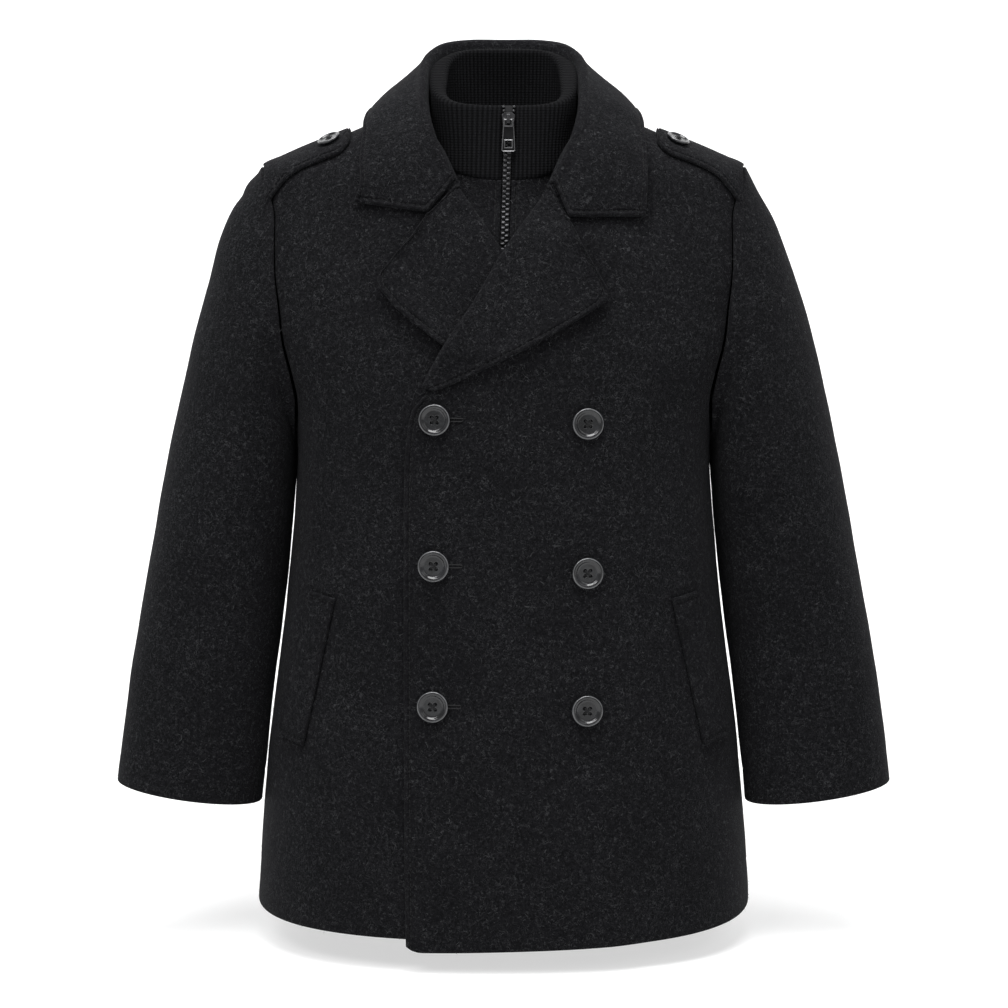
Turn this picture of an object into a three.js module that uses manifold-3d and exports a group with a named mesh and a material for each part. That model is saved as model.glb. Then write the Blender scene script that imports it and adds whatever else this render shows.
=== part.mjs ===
// Boy's double-breasted pea coat with a zipped, rib-collared insert, worn shape, hollow.
// Millimetres, +Z up, front towards -Y, wearer's left towards +X.
// The origin lies between the neck points of the shoulder seams, where the wearer's shoulders hold it.
import * as THREE from 'three';
import Module from 'manifold-3d';
import { mergeVertices } from 'three/addons/utils/BufferGeometryUtils.js';

const wasm = await Module();
wasm.setup();

// Driving dimensions
const woolWall = 2.4;
const collarWall = 3.6;
const layerGap = 0.45;
const seamGap = 0.3;
const layerStep = woolWall + layerGap;
const lapelLift = layerStep + 0.5;
const hemZ = -511;
const hemDip = 3.5;
const hemSweep = 110;
const leftHemDrop = 8;
const underarmZ = -205;
const shoulderTipZ = -38.5;
const neckPointZ = 0;
const backNeckZ = 5;
const gorgeZ = -52;
const frontEdgeX = 61;
const armholeDepth = 50;
const panelRows = 10;
const armholeSteps = 12;
const frontColumns = 16;
const backColumns = 24;
const buttonDiameter = 20;
const shoulderButtonDiameter = 15;

const degree = Math.PI / 180;

// Torso rings: height, half width, depth in front, depth behind, squareness of the section
const torsoRings = [
  { z: 20, width: 46, front: 40, back: 46, square: 2.1 },
  { z: 8, width: 53, front: 44, back: 50, square: 2.1 },
  { z: 0, width: 64, front: 47, back: 55, square: 2.1 },
  { z: -8.5, width: 85, front: 50, back: 60, square: 2.1 },
  { z: -17, width: 105, front: 52.5, back: 64, square: 2.1 },
  { z: -28.5, width: 133, front: 56, back: 69, square: 2.1 },
  { z: -38.5, width: 153, front: 59.5, back: 73, square: 2.1 },
  { z: -50, width: 159, front: 64, back: 77, square: 2.15 },
  { z: -62, width: 162, front: 67.5, back: 80.5, square: 2.2 },
  { z: -80, width: 164.5, front: 73, back: 84.5, square: 2.35 },
  { z: -100, width: 163, front: 79, back: 87.5, square: 2.5 },
  { z: -121.5, width: 157.5, front: 84.5, back: 89.5, square: 2.6 },
  { z: -143, width: 150.5, front: 89.5, back: 90.5, square: 2.7 },
  { z: -163, width: 142, front: 93, back: 90.5, square: 2.7 },
  { z: -180, width: 135.5, front: 95, back: 90, square: 2.7 },
  { z: -205, width: 131.8, front: 97, back: 89, square: 2.7 },
  { z: -240, width: 132.8, front: 98.5, back: 89.5, square: 2.7 },
  { z: -312, width: 139.5, front: 102, back: 93, square: 2.65 },
  { z: -390, width: 149.5, front: 107.5, back: 98.5, square: 2.6 },
  { z: -470, width: 157.2, front: 113, back: 104, square: 2.5 },
  { z: -530, width: 160.8, front: 117, back: 108, square: 2.5 },
];

// Sleeve sections: outer point, height of the inner point, half depth, forward shift
const sleeveSections = [
  { outX: 162, outZ: -51, inZ: -209.5, depth: 52.5, ahead: -1 },
  { outX: 173, outZ: -70, inZ: -216, depth: 55, ahead: -1 },
  { outX: 183, outZ: -96, inZ: -225, depth: 57, ahead: -1 },
  { outX: 192, outZ: -123, inZ: -236, depth: 57, ahead: -1 },
  { outX: 200, outZ: -151, inZ: -249, depth: 56, ahead: -2 },
  { outX: 208, outZ: -185, inZ: -266, depth: 54, ahead: -3 },
  { outX: 215.5, outZ: -220, inZ: -286, depth: 51, ahead: -4 },
  { outX: 222, outZ: -255, inZ: -309, depth: 48, ahead: -7 },
  { outX: 228.5, outZ: -290, inZ: -334, depth: 45, ahead: -10 },
  { outX: 234.5, outZ: -325, inZ: -360, depth: 42, ahead: -14 },
  { outX: 240.5, outZ: -360, inZ: -387, depth: 39, ahead: -18 },
  { outX: 245.5, outZ: -396, inZ: -415, depth: 36.5, ahead: -22 },
  { outX: 249.5, outZ: -430, inZ: -443, depth: 34.5, ahead: -26 },
];

// Lapel outlines, as seen from the front: the height of each point of the roll edge and the point of the
// outer edge across from it, from the notch to the foot
const lapelLeftRows = [
  { rollZ: -48.8, edgeX: 38.5, edgeZ: -66.5 },
  { rollZ: -56, edgeX: 47.5, edgeZ: -81.5 },
  { rollZ: -66.2, edgeX: 56.5, edgeZ: -96.5 },
  { rollZ: -77, edgeX: 63.8, edgeZ: -109.5 },
  { rollZ: -88.7, edgeX: 62.8, edgeZ: -116 },
  { rollZ: -101.5, edgeX: 48, edgeZ: -125.8 },
  { rollZ: -114.9, edgeX: 31, edgeZ: -136 },
  { rollZ: -128.5, edgeX: 12, edgeZ: -146 },
  { rollZ: -142.3, edgeX: -8.4, edgeZ: -155.1 },
  { rollZ: -159, edgeX: -30.5, edgeZ: -165.2 },
  { rollZ: -167.6, edgeX: -42.5, edgeZ: -169.6 },
];
const lapelRightRows = [
  { rollZ: -47.8, edgeX: -45.8, edgeZ: -64 },
  { rollZ: -52.5, edgeX: -55.5, edgeZ: -75 },
  { rollZ: -58.8, edgeX: -66, edgeZ: -87 },
  { rollZ: -67, edgeX: -77, edgeZ: -100.5 },
  { rollZ: -75.3, edgeX: -76.8, edgeZ: -107 },
  { rollZ: -88.7, edgeX: -66, edgeZ: -120 },
  { rollZ: -104, edgeX: -51.5, edgeZ: -131.5 },
  { rollZ: -120, edgeX: -35, edgeZ: -144 },
];

// Turned-down collar, one row a section from the middle of the back to the front end.
// Foot of the stand, roll, middle of the fall and outer edge of the fall.
const collarRows = [
  { foot: [0, 46.8, 4], roll: [0, 53, 44.5], mid: [0, 63, 16], edge: [0, 70, -16] },
  { foot: [13, 45.8, 4], roll: [21, 51.5, 44.3], mid: [23.5, 61.5, 17], edge: [26, 69, -16] },
  { foot: [26, 41.8, 3.5], roll: [38, 44.5, 42], mid: [44.5, 54, 18.5], edge: [50, 63, -15] },
  { foot: [38, 32.5, 3], roll: [47.5, 31.5, 36.5], mid: [62, 41, 17.5], edge: [72, 49, -9] },
  { foot: [48, 20, 0.5], roll: [51, 14, 29.5], mid: [71.5, 22, 13.5], edge: [82.5, 26, -2] },
  { foot: [51.5, 4, -1], roll: [51.5, -3, 22], mid: [75, 1, 9], edge: [85.5, 1, -3] },
  { foot: [51.5, -12, -3.5], roll: [51.5, -20, 13], mid: [74.5, -18.5, 3.5], edge: [87.5, -20, -7.8] },
  { foot: [49.5, -26, -8], roll: [50, -35, 3], mid: [71.5, -35, -6], edge: [88, -38, -17.5] },
  { foot: [44.5, -38, -15], roll: [46.5, -47.5, -8.5], mid: [68, -50.5, -17], edge: [89, -51, -31] },
  { foot: [37.5, -46, -24.5], roll: [41, -55.5, -22], mid: [61, -60.5, -32], edge: [89, -60, -45] },
];
// Front end of the fall: gorge, notch and corner on each side
const collarEnds = {
  left: { roll: [30.5, -42.5], mid: [40.2, -64], edge: [86.5, -66] },
  right: { roll: [-30.5, -41], mid: [-47.4, -60.8], edge: [-92, -57] },
};

// A table's column at a height, by a smooth curve through its rows
function columnAt(table, key, z) {
  const last = table.length - 1;
  const k = Math.min(last - 1, Math.max(0, table.findIndex((row) => row.z <= z) - 1));
  const found = z < table[last].z ? last - 1 : k;
  const [a, b] = [table[found], table[found + 1]];
  const before = table[Math.max(0, found - 1)];
  const after = table[Math.min(last, found + 2)];
  const span = a.z - b.z;
  const t = Math.min(1, Math.max(0, (a.z - z) / span));
  const slopeA = ((b[key] - before[key]) / Math.max(1e-6, before.z - b.z)) * span;
  const slopeB = ((after[key] - a[key]) / Math.max(1e-6, a.z - after.z)) * span;
  const t2 = t * t;
  const t3 = t2 * t;
  return (2 * t3 - 3 * t2 + 1) * a[key] + (t3 - 2 * t2 + t) * slopeA
    + (3 * t2 - 2 * t3) * b[key] + (t3 - t2) * slopeB;
}

function ringAt(z) {
  return {
    width: columnAt(torsoRings, 'width', z),
    front: columnAt(torsoRings, 'front', z),
    back: columnAt(torsoRings, 'back', z),
    square: columnAt(torsoRings, 'square', z),
  };
}

// Point of the torso at a turn about Z (0 in front, 90 degrees at the wearer's left) and a height
function torsoPoint(turn, z) {
  const ring = ringAt(z);
  const s = Math.sin(turn);
  const c = Math.cos(turn);
  const depth = c > 0 ? ring.front : ring.back;
  const reach = (Math.abs(s) ** ring.square + Math.abs(c) ** ring.square) ** (-1 / ring.square);
  return new THREE.Vector3(ring.width * reach * s, -depth * reach * c, z);
}

function torsoNormal(turn, z) {
  const step = 0.01;
  const around = torsoPoint(turn + step, z).sub(torsoPoint(turn - step, z));
  const down = torsoPoint(turn, z - 1).sub(torsoPoint(turn, z + 1));
  return down.cross(around).normalize();
}

// The turn at which the front of the torso has a given x
function turnAt(x, z) {
  const ring = ringAt(z);
  const part = Math.min(0.9999, Math.abs(x) / ring.width);
  const y = (1 - part ** ring.square) ** (1 / ring.square);
  return Math.sign(x) * Math.atan2(part, y);
}

function smooth(from, to, value) {
  const t = Math.min(1, Math.max(0, (value - from) / (to - from)));
  return t * t * (3 - 2 * t);
}

function mix(a, b, t) {
  return a + (b - a) * t;
}

// Point on the torso moved out by a lift, with the torso's normal there
function onTorso(turn, z, lift) {
  const normal = torsoNormal(turn, z);
  return { point: torsoPoint(turn, z).addScaledVector(normal, lift), normal };
}

// Closed wall about a grid of middle points: grid[row][column], faces out where columns x rows points out
function clothWall(grid, thickness, { closed = false, rib = () => 0 } = {}) {
  const rows = grid.length;
  const columns = grid[0].length;
  const at = (i, j) => {
    const row = grid[Math.min(rows - 1, Math.max(0, i))];
    return closed ? row[(j + columns) % columns] : row[Math.min(columns - 1, Math.max(0, j))];
  };
  const positions = [];
  for (const side of [1, -1]) {
    for (let i = 0; i < rows; i++) {
      for (let j = 0; j < columns; j++) {
        const across = at(i, j + 1).point.clone().sub(at(i, j - 1).point);
        const along = at(i + 1, j).point.clone().sub(at(i - 1, j).point);
        const normal = at(i, j).normal ?? across.cross(along).normalize();
        const offset = side > 0 ? thickness / 2 + rib(i, j) : -thickness / 2;
        positions.push(...at(i, j).point.clone().addScaledVector(normal, offset));
      }
    }
  }
  const outer = (i, j) => i * columns + (closed ? j % columns : j);
  const inner = (i, j) => rows * columns + outer(i, j);
  const index = [];
  const quad = (a, b, c, d) => index.push(a, b, c, a, c, d);
  const lastColumn = closed ? columns : columns - 1;
  for (let i = 0; i < rows - 1; i++) {
    for (let j = 0; j < lastColumn; j++) {
      quad(outer(i, j), outer(i, j + 1), outer(i + 1, j + 1), outer(i + 1, j));
      quad(inner(i, j), inner(i + 1, j), inner(i + 1, j + 1), inner(i, j + 1));
    }
  }
  for (let j = 0; j < lastColumn; j++) {
    quad(outer(0, j), inner(0, j), inner(0, j + 1), outer(0, j + 1));
    quad(outer(rows - 1, j), outer(rows - 1, j + 1), inner(rows - 1, j + 1), inner(rows - 1, j));
  }
  for (let i = 0; !closed && i < rows - 1; i++) {
    quad(outer(i, 0), outer(i + 1, 0), inner(i + 1, 0), inner(i, 0));
    quad(outer(i, columns - 1), inner(i, columns - 1), inner(i + 1, columns - 1), outer(i + 1, columns - 1));
  }
  const geometry = new THREE.BufferGeometry();
  geometry.setAttribute('position', new THREE.Float32BufferAttribute(positions, 3));
  geometry.setIndex(index);
  return facedOutward(geometry);
}

// Turns every face round where the mesh encloses a negative volume
function facedOutward(geometry) {
  const p = geometry.getAttribute('position');
  const index = geometry.getIndex();
  const [a, b, c] = [new THREE.Vector3(), new THREE.Vector3(), new THREE.Vector3()];
  let volume = 0;
  for (let i = 0; i < index.count; i += 3) {
    a.fromBufferAttribute(p, index.getX(i));
    b.fromBufferAttribute(p, index.getX(i + 1));
    c.fromBufferAttribute(p, index.getX(i + 2));
    volume += a.dot(b.cross(c));
  }
  for (let i = 0; volume < 0 && i < index.count; i += 3) {
    const second = index.getX(i + 1);
    index.setX(i + 1, index.getX(i + 2));
    index.setX(i + 2, second);
  }
  return geometry;
}

// Materials
function finish(color, roughness, metalness = 0) {
  return new THREE.MeshStandardMaterial({ color, roughness, metalness });
}
const wool = finish(0x1d1f22, 0.95);
const ribKnit = finish(0x101113, 0.9);
const horn = finish(0x1a1b1d, 0.3);
const gunmetal = finish(0x3a3b3e, 0.35, 0.9);

const coat = new THREE.Group();

function add(name, geometry, material) {
  const mesh = new THREE.Mesh(geometry, material);
  mesh.name = name;
  coat.add(mesh);
  return mesh;
}

// Armhole: a closed curve in the side of the torso, from the shoulder tip (0) to the underarm (180 degrees)
const armholeMiddleZ = (shoulderTipZ + underarmZ) / 2;
const armholeHalfHeight = (shoulderTipZ - underarmZ) / 2;

function armholeProfile(round) {
  return Math.sin(round) ** 0.8 * (1 - 0.12 * Math.cos(round));
}

// Turn about Z and height of an armhole point; round runs on to 360 degrees up the back
function armholeAt(round) {
  const half = round > Math.PI ? 2 * Math.PI - round : round;
  const z = armholeMiddleZ + armholeHalfHeight * Math.cos(half);
  const ring = ringAt(z);
  const depth = armholeDepth * Math.max(0, armholeProfile(Math.max(0, half)));
  const room = round > Math.PI ? ring.back : ring.front;
  const y = Math.min(0.98, depth / room);
  const x = (1 - y ** ring.square) ** (1 / ring.square);
  const turn = Math.atan2(x, round > Math.PI ? -y : y);
  return { turn, z };
}

// Outer ends of the panel rows, hem to shoulder tip: turn from the front and height
function sideEnds(back) {
  const ends = [];
  for (let i = 0; i < panelRows; i++) {
    ends.push({ turn: 90 * degree, z: mix(hemZ, underarmZ, i / panelRows) });
  }
  for (let k = armholeSteps; k >= 0; k--) {
    const round = (k / armholeSteps) * Math.PI;
    const at = armholeAt(back ? 2 * Math.PI - round : round);
    ends.push({ turn: k === 0 || k === armholeSteps ? 90 * degree : at.turn, z: at.z });
  }
  return ends;
}

// Inner boundary of the left front by height: front edge, roll line, then the neckline
const rollLine = [
  { z: -47.8, x: 29.6 },
  { z: -66.2, x: 16.5 },
  { z: -88.7, x: 0.9 },
  { z: -114.9, x: -14.6 },
  { z: -142.3, x: -33.1 },
  { z: -160.8, x: -44.3 },
  { z: -173.7, x: -51.8 },
  { z: -181.2, x: -56.4 },
  { z: -203, x: -59.9 },
  { z: -240, x: -61.3 },
  { z: -412, x: -61.6 },
  { z: -530, x: -60.4 },
];
const frontInnerZ = [-198, -187, -175, -158, -138, -117, -96, -78, -64];
const rollSetBack = 2.6;

// The front's own edge is set back from the roll line, inside the lapel's curl
function frontInnerTurn(z) {
  const back = rollSetBack * smooth(-184, -168, z);
  return turnAt(columnAt(rollLine, 'x', z) + back, z);
}

function necklineAt(part) {
  const rise = 1 - (1 - part) ** 3.4;
  return { turn: mix(frontInnerTurn(gorgeZ), 90 * degree, part), z: mix(gorgeZ, neckPointZ, rise) };
}

function frontInnerEnds() {
  const ends = [];
  for (let i = 0; i < panelRows; i++) {
    const z = mix(hemZ, underarmZ, i / panelRows);
    ends.push({ turn: frontInnerTurn(z), z });
  }
  const rollRows = frontInnerZ.length;
  for (let k = 0; k <= armholeSteps; k++) {
    if (k <= rollRows) {
      const z = k === rollRows ? gorgeZ : frontInnerZ[k];
      ends.push({ turn: frontInnerTurn(z), z });
    } else {
      ends.push(necklineAt((k - rollRows) / (armholeSteps - rollRows)));
    }
  }
  return ends;
}

// How far the hem hangs below its side height, by the turn from the front
function hemFall(turn, extra) {
  return -(hemDip - 1) * Math.max(0, Math.cos(turn)) - extra;
}

// Left front lies on the right front and on its lapel; both settle to the same surface towards the side
function overlapLift(x, z) {
  const beyond = (1 - smooth(frontEdgeX + 4, frontEdgeX + 34, x)) * (1 - smooth(-82, -56, z));
  const onLapel = smooth(-161, -145, z) * (1 - smooth(24, 52, x));
  return beyond * (layerStep + onLapel * (lapelLift + 0.2));
}

// Front panel as rows of points from the inner boundary to the side; side is 1 for the wearer's left
function frontGrid(side) {
  const inner = frontInnerEnds();
  const outer = sideEnds(false);
  return inner.map((start, i) => {
    const end = outer[i];
    const row = [];
    for (let j = 0; j <= frontColumns; j++) {
      const t = j / frontColumns;
      const turn = mix(start.turn, end.turn, t);
      const low = 1 - smooth(hemZ, hemZ + hemSweep, end.z);
      const z = mix(start.z, end.z, t) + low * hemFall(turn, side > 0 ? leftHemDrop * (1 - t) : 0);
      const x = torsoPoint(turn, z).x;
      const lift = side > 0 ? overlapLift(x, z) : 0;
      const at = onTorso(turn, z, lift);
      // Seam gap at the side, armhole and shoulder
      row.push(j === frontColumns ? pulledBack(at, row[j - 1]) : at);
    }
    return side > 0 ? row : mirrored(row);
  });
}

function pulledBack(at, neighbour) {
  const back = neighbour.point.clone().sub(at.point).setLength(seamGap);
  return { point: at.point.add(back), normal: at.normal };
}

function mirrored(row) {
  const flip = (v) => new THREE.Vector3(-v.x, v.y, v.z);
  return row.map((at) => ({ point: flip(at.point), normal: at.normal && flip(at.normal) }));
}

add('front_left', clothWall(frontGrid(1), woolWall), wool);
add('front_right', clothWall(frontGrid(-1), woolWall), wool);

// Back: a patch between the hem, both sides and armholes, and the shoulder seams with the back neck
function backGrid() {
  const side = sideEnds(true);
  const rows = side.length;
  const neckShare = 0.4;
  const shoulderTurn = 0.5 * degree;
  const top = (s) => {
    const reach = Math.abs(s);
    if (reach > neckShare) {
      return { turn: 90 * degree, z: mix(neckPointZ, shoulderTipZ, (reach - neckShare) / (1 - neckShare)) };
    }
    const part = 1 - reach / neckShare;
    return { turn: mix(90, 180, part) * degree, z: mix(neckPointZ, backNeckZ, Math.min(1, part * 2.5)) };
  };
  return side.map((end, i) => {
    const t = (end.z - hemZ) / (shoulderTipZ - hemZ);
    const row = [];
    for (let j = 0; j <= backColumns; j++) {
      const s = 1 - (2 * j) / backColumns;
      const reach = Math.abs(s);
      const plain = mix(180, 90, reach) * degree;
      const ridge = top(s);
      const rise = smooth(0.6, 1, t);
      const turn = mix(plain, ridge.turn, rise) + (end.turn - 90 * degree) * reach ** 2;
      const lift = (ridge.z - shoulderTipZ) * rise ** 2;
      const low = 1 - smooth(hemZ, hemZ + hemSweep, end.z);
      const z = end.z + lift + low * hemFall(Math.PI - turn, 0) * 0.5;
      const onSeam = i === rows - 1 && reach > neckShare - 0.01;
      const at = onTorso(turn + (onSeam ? shoulderTurn : 0), z, 0);
      row.push(s < 0 ? mirrored([at])[0] : at);
    }
    row[0] = pulledBack(row[0], row[1]);
    row[backColumns] = pulledBack(row[backColumns], row[backColumns - 1]);
    return row;
  });
}

add('back', clothWall(backGrid(), woolWall), wool);

// Sleeve: sections from the armhole to the cuff, each from its outer point (0) to its inner one (180 degrees)
const sleeveColumns = 2 * armholeSteps;
const sleeveLap = 1.5;
const headGap = 0.4;
const sideRoom = woolWall + 0.8;

function sleevePoint(section, round) {
  const inX = ringAt(section.inZ).width + sideRoom;
  const along = Math.cos(round);
  const shape = Math.sign(Math.sin(round)) * armholeProfile(Math.abs(Math.asin(Math.sin(round))));
  const early = smooth(-280, -120, section.outZ);
  const across = mix(Math.sin(round), shape * (1 - 0.12 * along), early);
  return new THREE.Vector3(
    (section.outX + inX) / 2 + ((section.outX - inX) / 2) * along,
    section.ahead - section.depth * across,
    (section.outZ + section.inZ) / 2 + ((section.outZ - section.inZ) / 2) * along,
  );
}

function sleeveHead() {
  const row = [];
  for (let j = 0; j < sleeveColumns; j++) {
    const round = (j / sleeveColumns) * 2 * Math.PI;
    const at = armholeAt(round);
    const seam = onTorso(at.turn, at.z, layerStep + headGap);
    const middle = new THREE.Vector3(seam.point.x, 0, armholeMiddleZ);
    const outward = seam.point.clone().sub(middle).projectOnPlane(seam.normal).normalize();
    row.push({ point: seam.point.addScaledVector(outward, sleeveLap) });
  }
  return row;
}

function sleeveGrid(side) {
  const grid = [sleeveHead()];
  for (const section of sleeveSections) {
    const row = [];
    for (let j = 0; j < sleeveColumns; j++) {
      row.push({ point: sleevePoint(section, (j / sleeveColumns) * 2 * Math.PI) });
    }
    grid.push(row);
  }
  return side > 0 ? grid : grid.map(mirrored);
}

for (const [name, side] of [['left', 1], ['right', -1]]) {
  add(`sleeve_${name}`, clothWall(sleeveGrid(side), woolWall, { closed: true }), wool);
}

// Lapels: rows from the roll edge, which curls round the front's edge, to the outer edge
const lapelColumns = 7;
const lapelCurl = [
  { across: -2.2, lift: 0.3 },
  { across: -1.7, lift: 1.9 },
  { across: -0.4, lift: 3 },
];

function lapelGrid(rows, side) {
  return rows.map(({ rollZ, edgeX, edgeZ }) => {
    const rollX = side * columnAt(rollLine, 'x', rollZ);
    const width = Math.hypot(edgeX - rollX, edgeZ - rollZ);
    const place = (across, lift) => {
      const t = across / width;
      const x = mix(rollX, edgeX, t);
      const z = mix(rollZ, edgeZ, t);
      const under = side > 0 ? overlapLift(x, z) : 0;
      return onTorso(turnAt(x, z), z, under + lift);
    };
    const narrow = Math.min(1, width / 15);
    const curl = lapelCurl.map((c) => ({ point: place(c.across * narrow, c.lift).point }));
    const face = [];
    for (let j = 0; j <= lapelColumns; j++) {
      const across = mix(1.5 * narrow, width, j / lapelColumns);
      face.push({ point: place(across, lapelLift).point });
    }
    return [...curl, ...face];
  });
}

add('lapel_left', clothWall(lapelGrid(lapelLeftRows, 1), woolWall), wool);
add('lapel_right', clothWall(lapelGrid(lapelRightRows, -1), woolWall), wool);

// Height of the top of the shoulder over a place x, y
function shoulderZ(x, y) {
  let [low, high] = [-75, 12];
  for (let i = 0; i < 30; i++) {
    const z = (low + high) / 2;
    const ring = ringAt(z);
    const depth = y > 0 ? ring.back : ring.front;
    const width = ring.width * (1 - Math.min(1, Math.abs(y) / depth) ** ring.square) ** (1 / ring.square);
    [low, high] = width > x ? [z, high] : [low, z];
  }
  return (low + high) / 2;
}

// Torso point and normal over a place x, y of the shoulder
function onShoulder(x, y, lift) {
  const z = shoulderZ(x, y);
  const ring = ringAt(z);
  const turn = Math.atan2(x / ring.width, -y / (y > 0 ? ring.back : ring.front));
  return onTorso(turn, z, lift);
}

// Collar: the stand rises from the neckline, rolls over and falls on the shoulders
const collarFold = 2.4;
const collarColumns = 11;
const collarLift = woolWall / 2 + layerGap + collarWall / 2 + 0.3;

function collarSection(foot, roll, mid, edge) {
  const out = edge.clone().sub(foot).setZ(0).normalize();
  const standTop = roll.clone().addScaledVector(out, -collarFold).setZ(roll.z - 5);
  const fallTop = roll.clone().addScaledVector(out, collarFold + 0.6).setZ(roll.z - 4);
  return new THREE.CatmullRomCurve3([foot, standTop, roll, fallTop, mid, edge], false, 'centripetal');
}

function collarEnd({ roll, mid, edge }) {
  const place = ([x, z], lift) => {
    const under = x > 0 && lift > 0 ? overlapLift(x, z) : 0;
    return onTorso(turnAt(x, z), z, under + lift).point;
  };
  const foot = place([roll[0] * 0.96, roll[1]], -collarLift);
  const fall = [place(roll, collarLift), place(mid, collarLift + 0.7), place(edge, collarLift + 0.8)];
  return collarSection(foot, ...fall);
}

function collarGrid() {
  const sections = [collarEnd(collarEnds.left)];
  const toPoint = ([x, y, z], side) => new THREE.Vector3(x * side, y, z);
  const half = (side) => collarRows.map((r) => {
    return collarSection(...[r.foot, r.roll, r.mid, r.edge].map((at) => toPoint(at, side)));
  });
  sections.push(...half(1).reverse(), ...half(-1).slice(1), collarEnd(collarEnds.right));
  return sections.map((curve) => curve.getPoints(collarColumns).map((point) => ({ point })));
}

add('collar', clothWall(collarGrid(), collarWall), wool);

// Shoulder straps, from the rounded tip near the collar out to the sleeve seam
const strapTipY = -19;
const strapSeamY = -11;
const strapLift = layerStep + 0.4;
const strapSeamX = 148.6;
const strapRows = [
  { x: 96, half: 9.5 },
  { x: 97.3, half: 13 },
  { x: 100, half: 16 },
  { x: 104.5, half: 17.8 },
  { x: 113, half: 18.2 },
  { x: 124, half: 18.8 },
  { x: 136, half: 19.4 },
  { x: strapSeamX, half: 20 },
];
const strapColumns = 5;

// Middle line of the strap: it runs forward from the seam to the tip
function strapMiddle(x) {
  return mix(strapTipY, strapSeamY, (x - strapRows[0].x) / (strapSeamX - strapRows[0].x));
}

function strapGrid(side) {
  const grid = strapRows.map(({ x, half }) => {
    const row = [];
    for (let j = 0; j <= strapColumns; j++) {
      const y = strapMiddle(x) - half + (2 * half * j) / strapColumns;
      const trimmed = x === strapSeamX ? x - 0.13 * Math.abs(y) : x;
      row.push(onShoulder(trimmed, y, strapLift));
    }
    return row;
  });
  return side > 0 ? grid : grid.map(mirrored);
}

// Pocket welts on the fronts, as seen from the front
const weltTop = { outX: 119.7, inX: 104.2, z: -299 };
const weltFoot = { outX: 139.6, inX: 125, z: -394.6 };
const weltRows = 7;
const weltColumns = 2;

function weltGrid(side) {
  const grid = [];
  for (let i = 0; i <= weltRows; i++) {
    const t = i / weltRows;
    const row = [];
    for (let j = 0; j <= weltColumns; j++) {
      const x = mix(mix(weltTop.inX, weltFoot.inX, t), mix(weltTop.outX, weltFoot.outX, t), j / weltColumns);
      const z = mix(weltTop.z, weltFoot.z, t) - 2.5 * (1 - j / weltColumns);
      row.push(onTorso(turnAt(x, z), z, layerStep));
    }
    grid.push(row);
  }
  return side > 0 ? grid : grid.map(mirrored);
}

for (const [name, side] of [['left', 1], ['right', -1]]) {
  add(`epaulette_${name}`, clothWall(strapGrid(side), woolWall), wool);
  add(`pocket_welt_${name}`, clothWall(weltGrid(side), woolWall), wool);
}

// Knitted collar: rings tilted with the neck, from the seam with the insert up to the rim
const ribRings = [
  { width: 43.6, depth: 45.5, middleY: -6.5, middleZ: -21.6, tilt: 20.8, square: 2.1 },
  { width: 42.4, depth: 43, middleY: -3.3, middleZ: 1.5, tilt: 18.9, square: 2.5 },
  { width: 42.2, depth: 41, middleY: -0.5, middleZ: 22, tilt: 17.2, square: 3.4 },
];
const ribWall = 5.4;
const ribCount = 84;
const ribHeight = 0.9;
const zipHalfGap = 3;
const zipTopX = 3.4;
const zipFootX = 0.3;
const bibFootZ = -165;

// Sideways place of the zip at a height: it leans towards the wearer's left at the top
function zipX(z) {
  return mix(zipFootX, zipTopX, Math.min(1, Math.max(0, (z + 88) / 95)));
}

// Squared ellipse: a direction round the neck, its reach raised towards the corners
function ribRingPoint(ring, turn) {
  const s = Math.sin(turn);
  const c = Math.cos(turn);
  const reach = (Math.abs(s) ** ring.square + Math.abs(c) ** ring.square) ** (-1 / ring.square);
  const z = ring.middleZ - ring.tilt * reach * c;
  const lean = zipX(z) * Math.max(0, c) ** 4;
  return new THREE.Vector3(ring.width * reach * s + lean, ring.middleY - ring.depth * reach * c, z);
}

function ribGrid() {
  const columns = 2 * ribCount;
  return ribRings.map((ring) => {
    const start = Math.asin(zipHalfGap / ring.width);
    const row = [];
    for (let j = 0; j <= columns; j++) {
      row.push({ point: ribRingPoint(ring, mix(start, 2 * Math.PI - start, j / columns)) });
    }
    return row;
  }).reverse();
}

add('rib_collar', clothWall(ribGrid(), ribWall, { rib: (i, j) => (j % 2) * ribHeight }), ribKnit);

// Insert of the same wool below the knitted collar, behind the fronts
const bibDepth = 5.9;
const bibTopHalf = 36;
const bibFootHalf = 54;
const bibTopDrop = 3.2;
const bibRows = 8;
const bibColumns = 4;

function bibGrid(side) {
  const top = ribRings[0];
  const grid = [];
  for (let i = 0; i <= bibRows; i++) {
    const t = i / bibRows;
    const row = [];
    for (let j = 0; j <= bibColumns; j++) {
      const reach = mix(zipHalfGap, mix(bibTopHalf, bibFootHalf, t), j / bibColumns);
      const seam = ribRingPoint(top, Math.asin(mix(zipHalfGap, bibTopHalf, j / bibColumns) / top.width));
      const z = mix(seam.z - bibTopDrop, bibFootZ, t);
      // The side edge is sewn to the front that lies over it
      const sewn = (side > 0 ? overlapLift(reach, z) : 0) - layerStep - 0.1;
      const lift = j === bibColumns ? mix(-bibDepth, sewn, smooth(0.25, 0.5, t)) : -bibDepth;
      const low = onTorso(turnAt(reach, z), z, lift).point;
      const lean = zipX(z) * (1 - j / bibColumns);
      const y = mix(seam.y, low.y, smooth(0, 0.3, t));
      row.push({ point: new THREE.Vector3(side * reach + lean, y, z) });
    }
    grid.push(side > 0 ? row : row.reverse());
  }
  return grid;
}

add('bib_left', clothWall(bibGrid(1), woolWall), wool);
add('bib_right', clothWall(bibGrid(-1), woolWall), wool);

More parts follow.
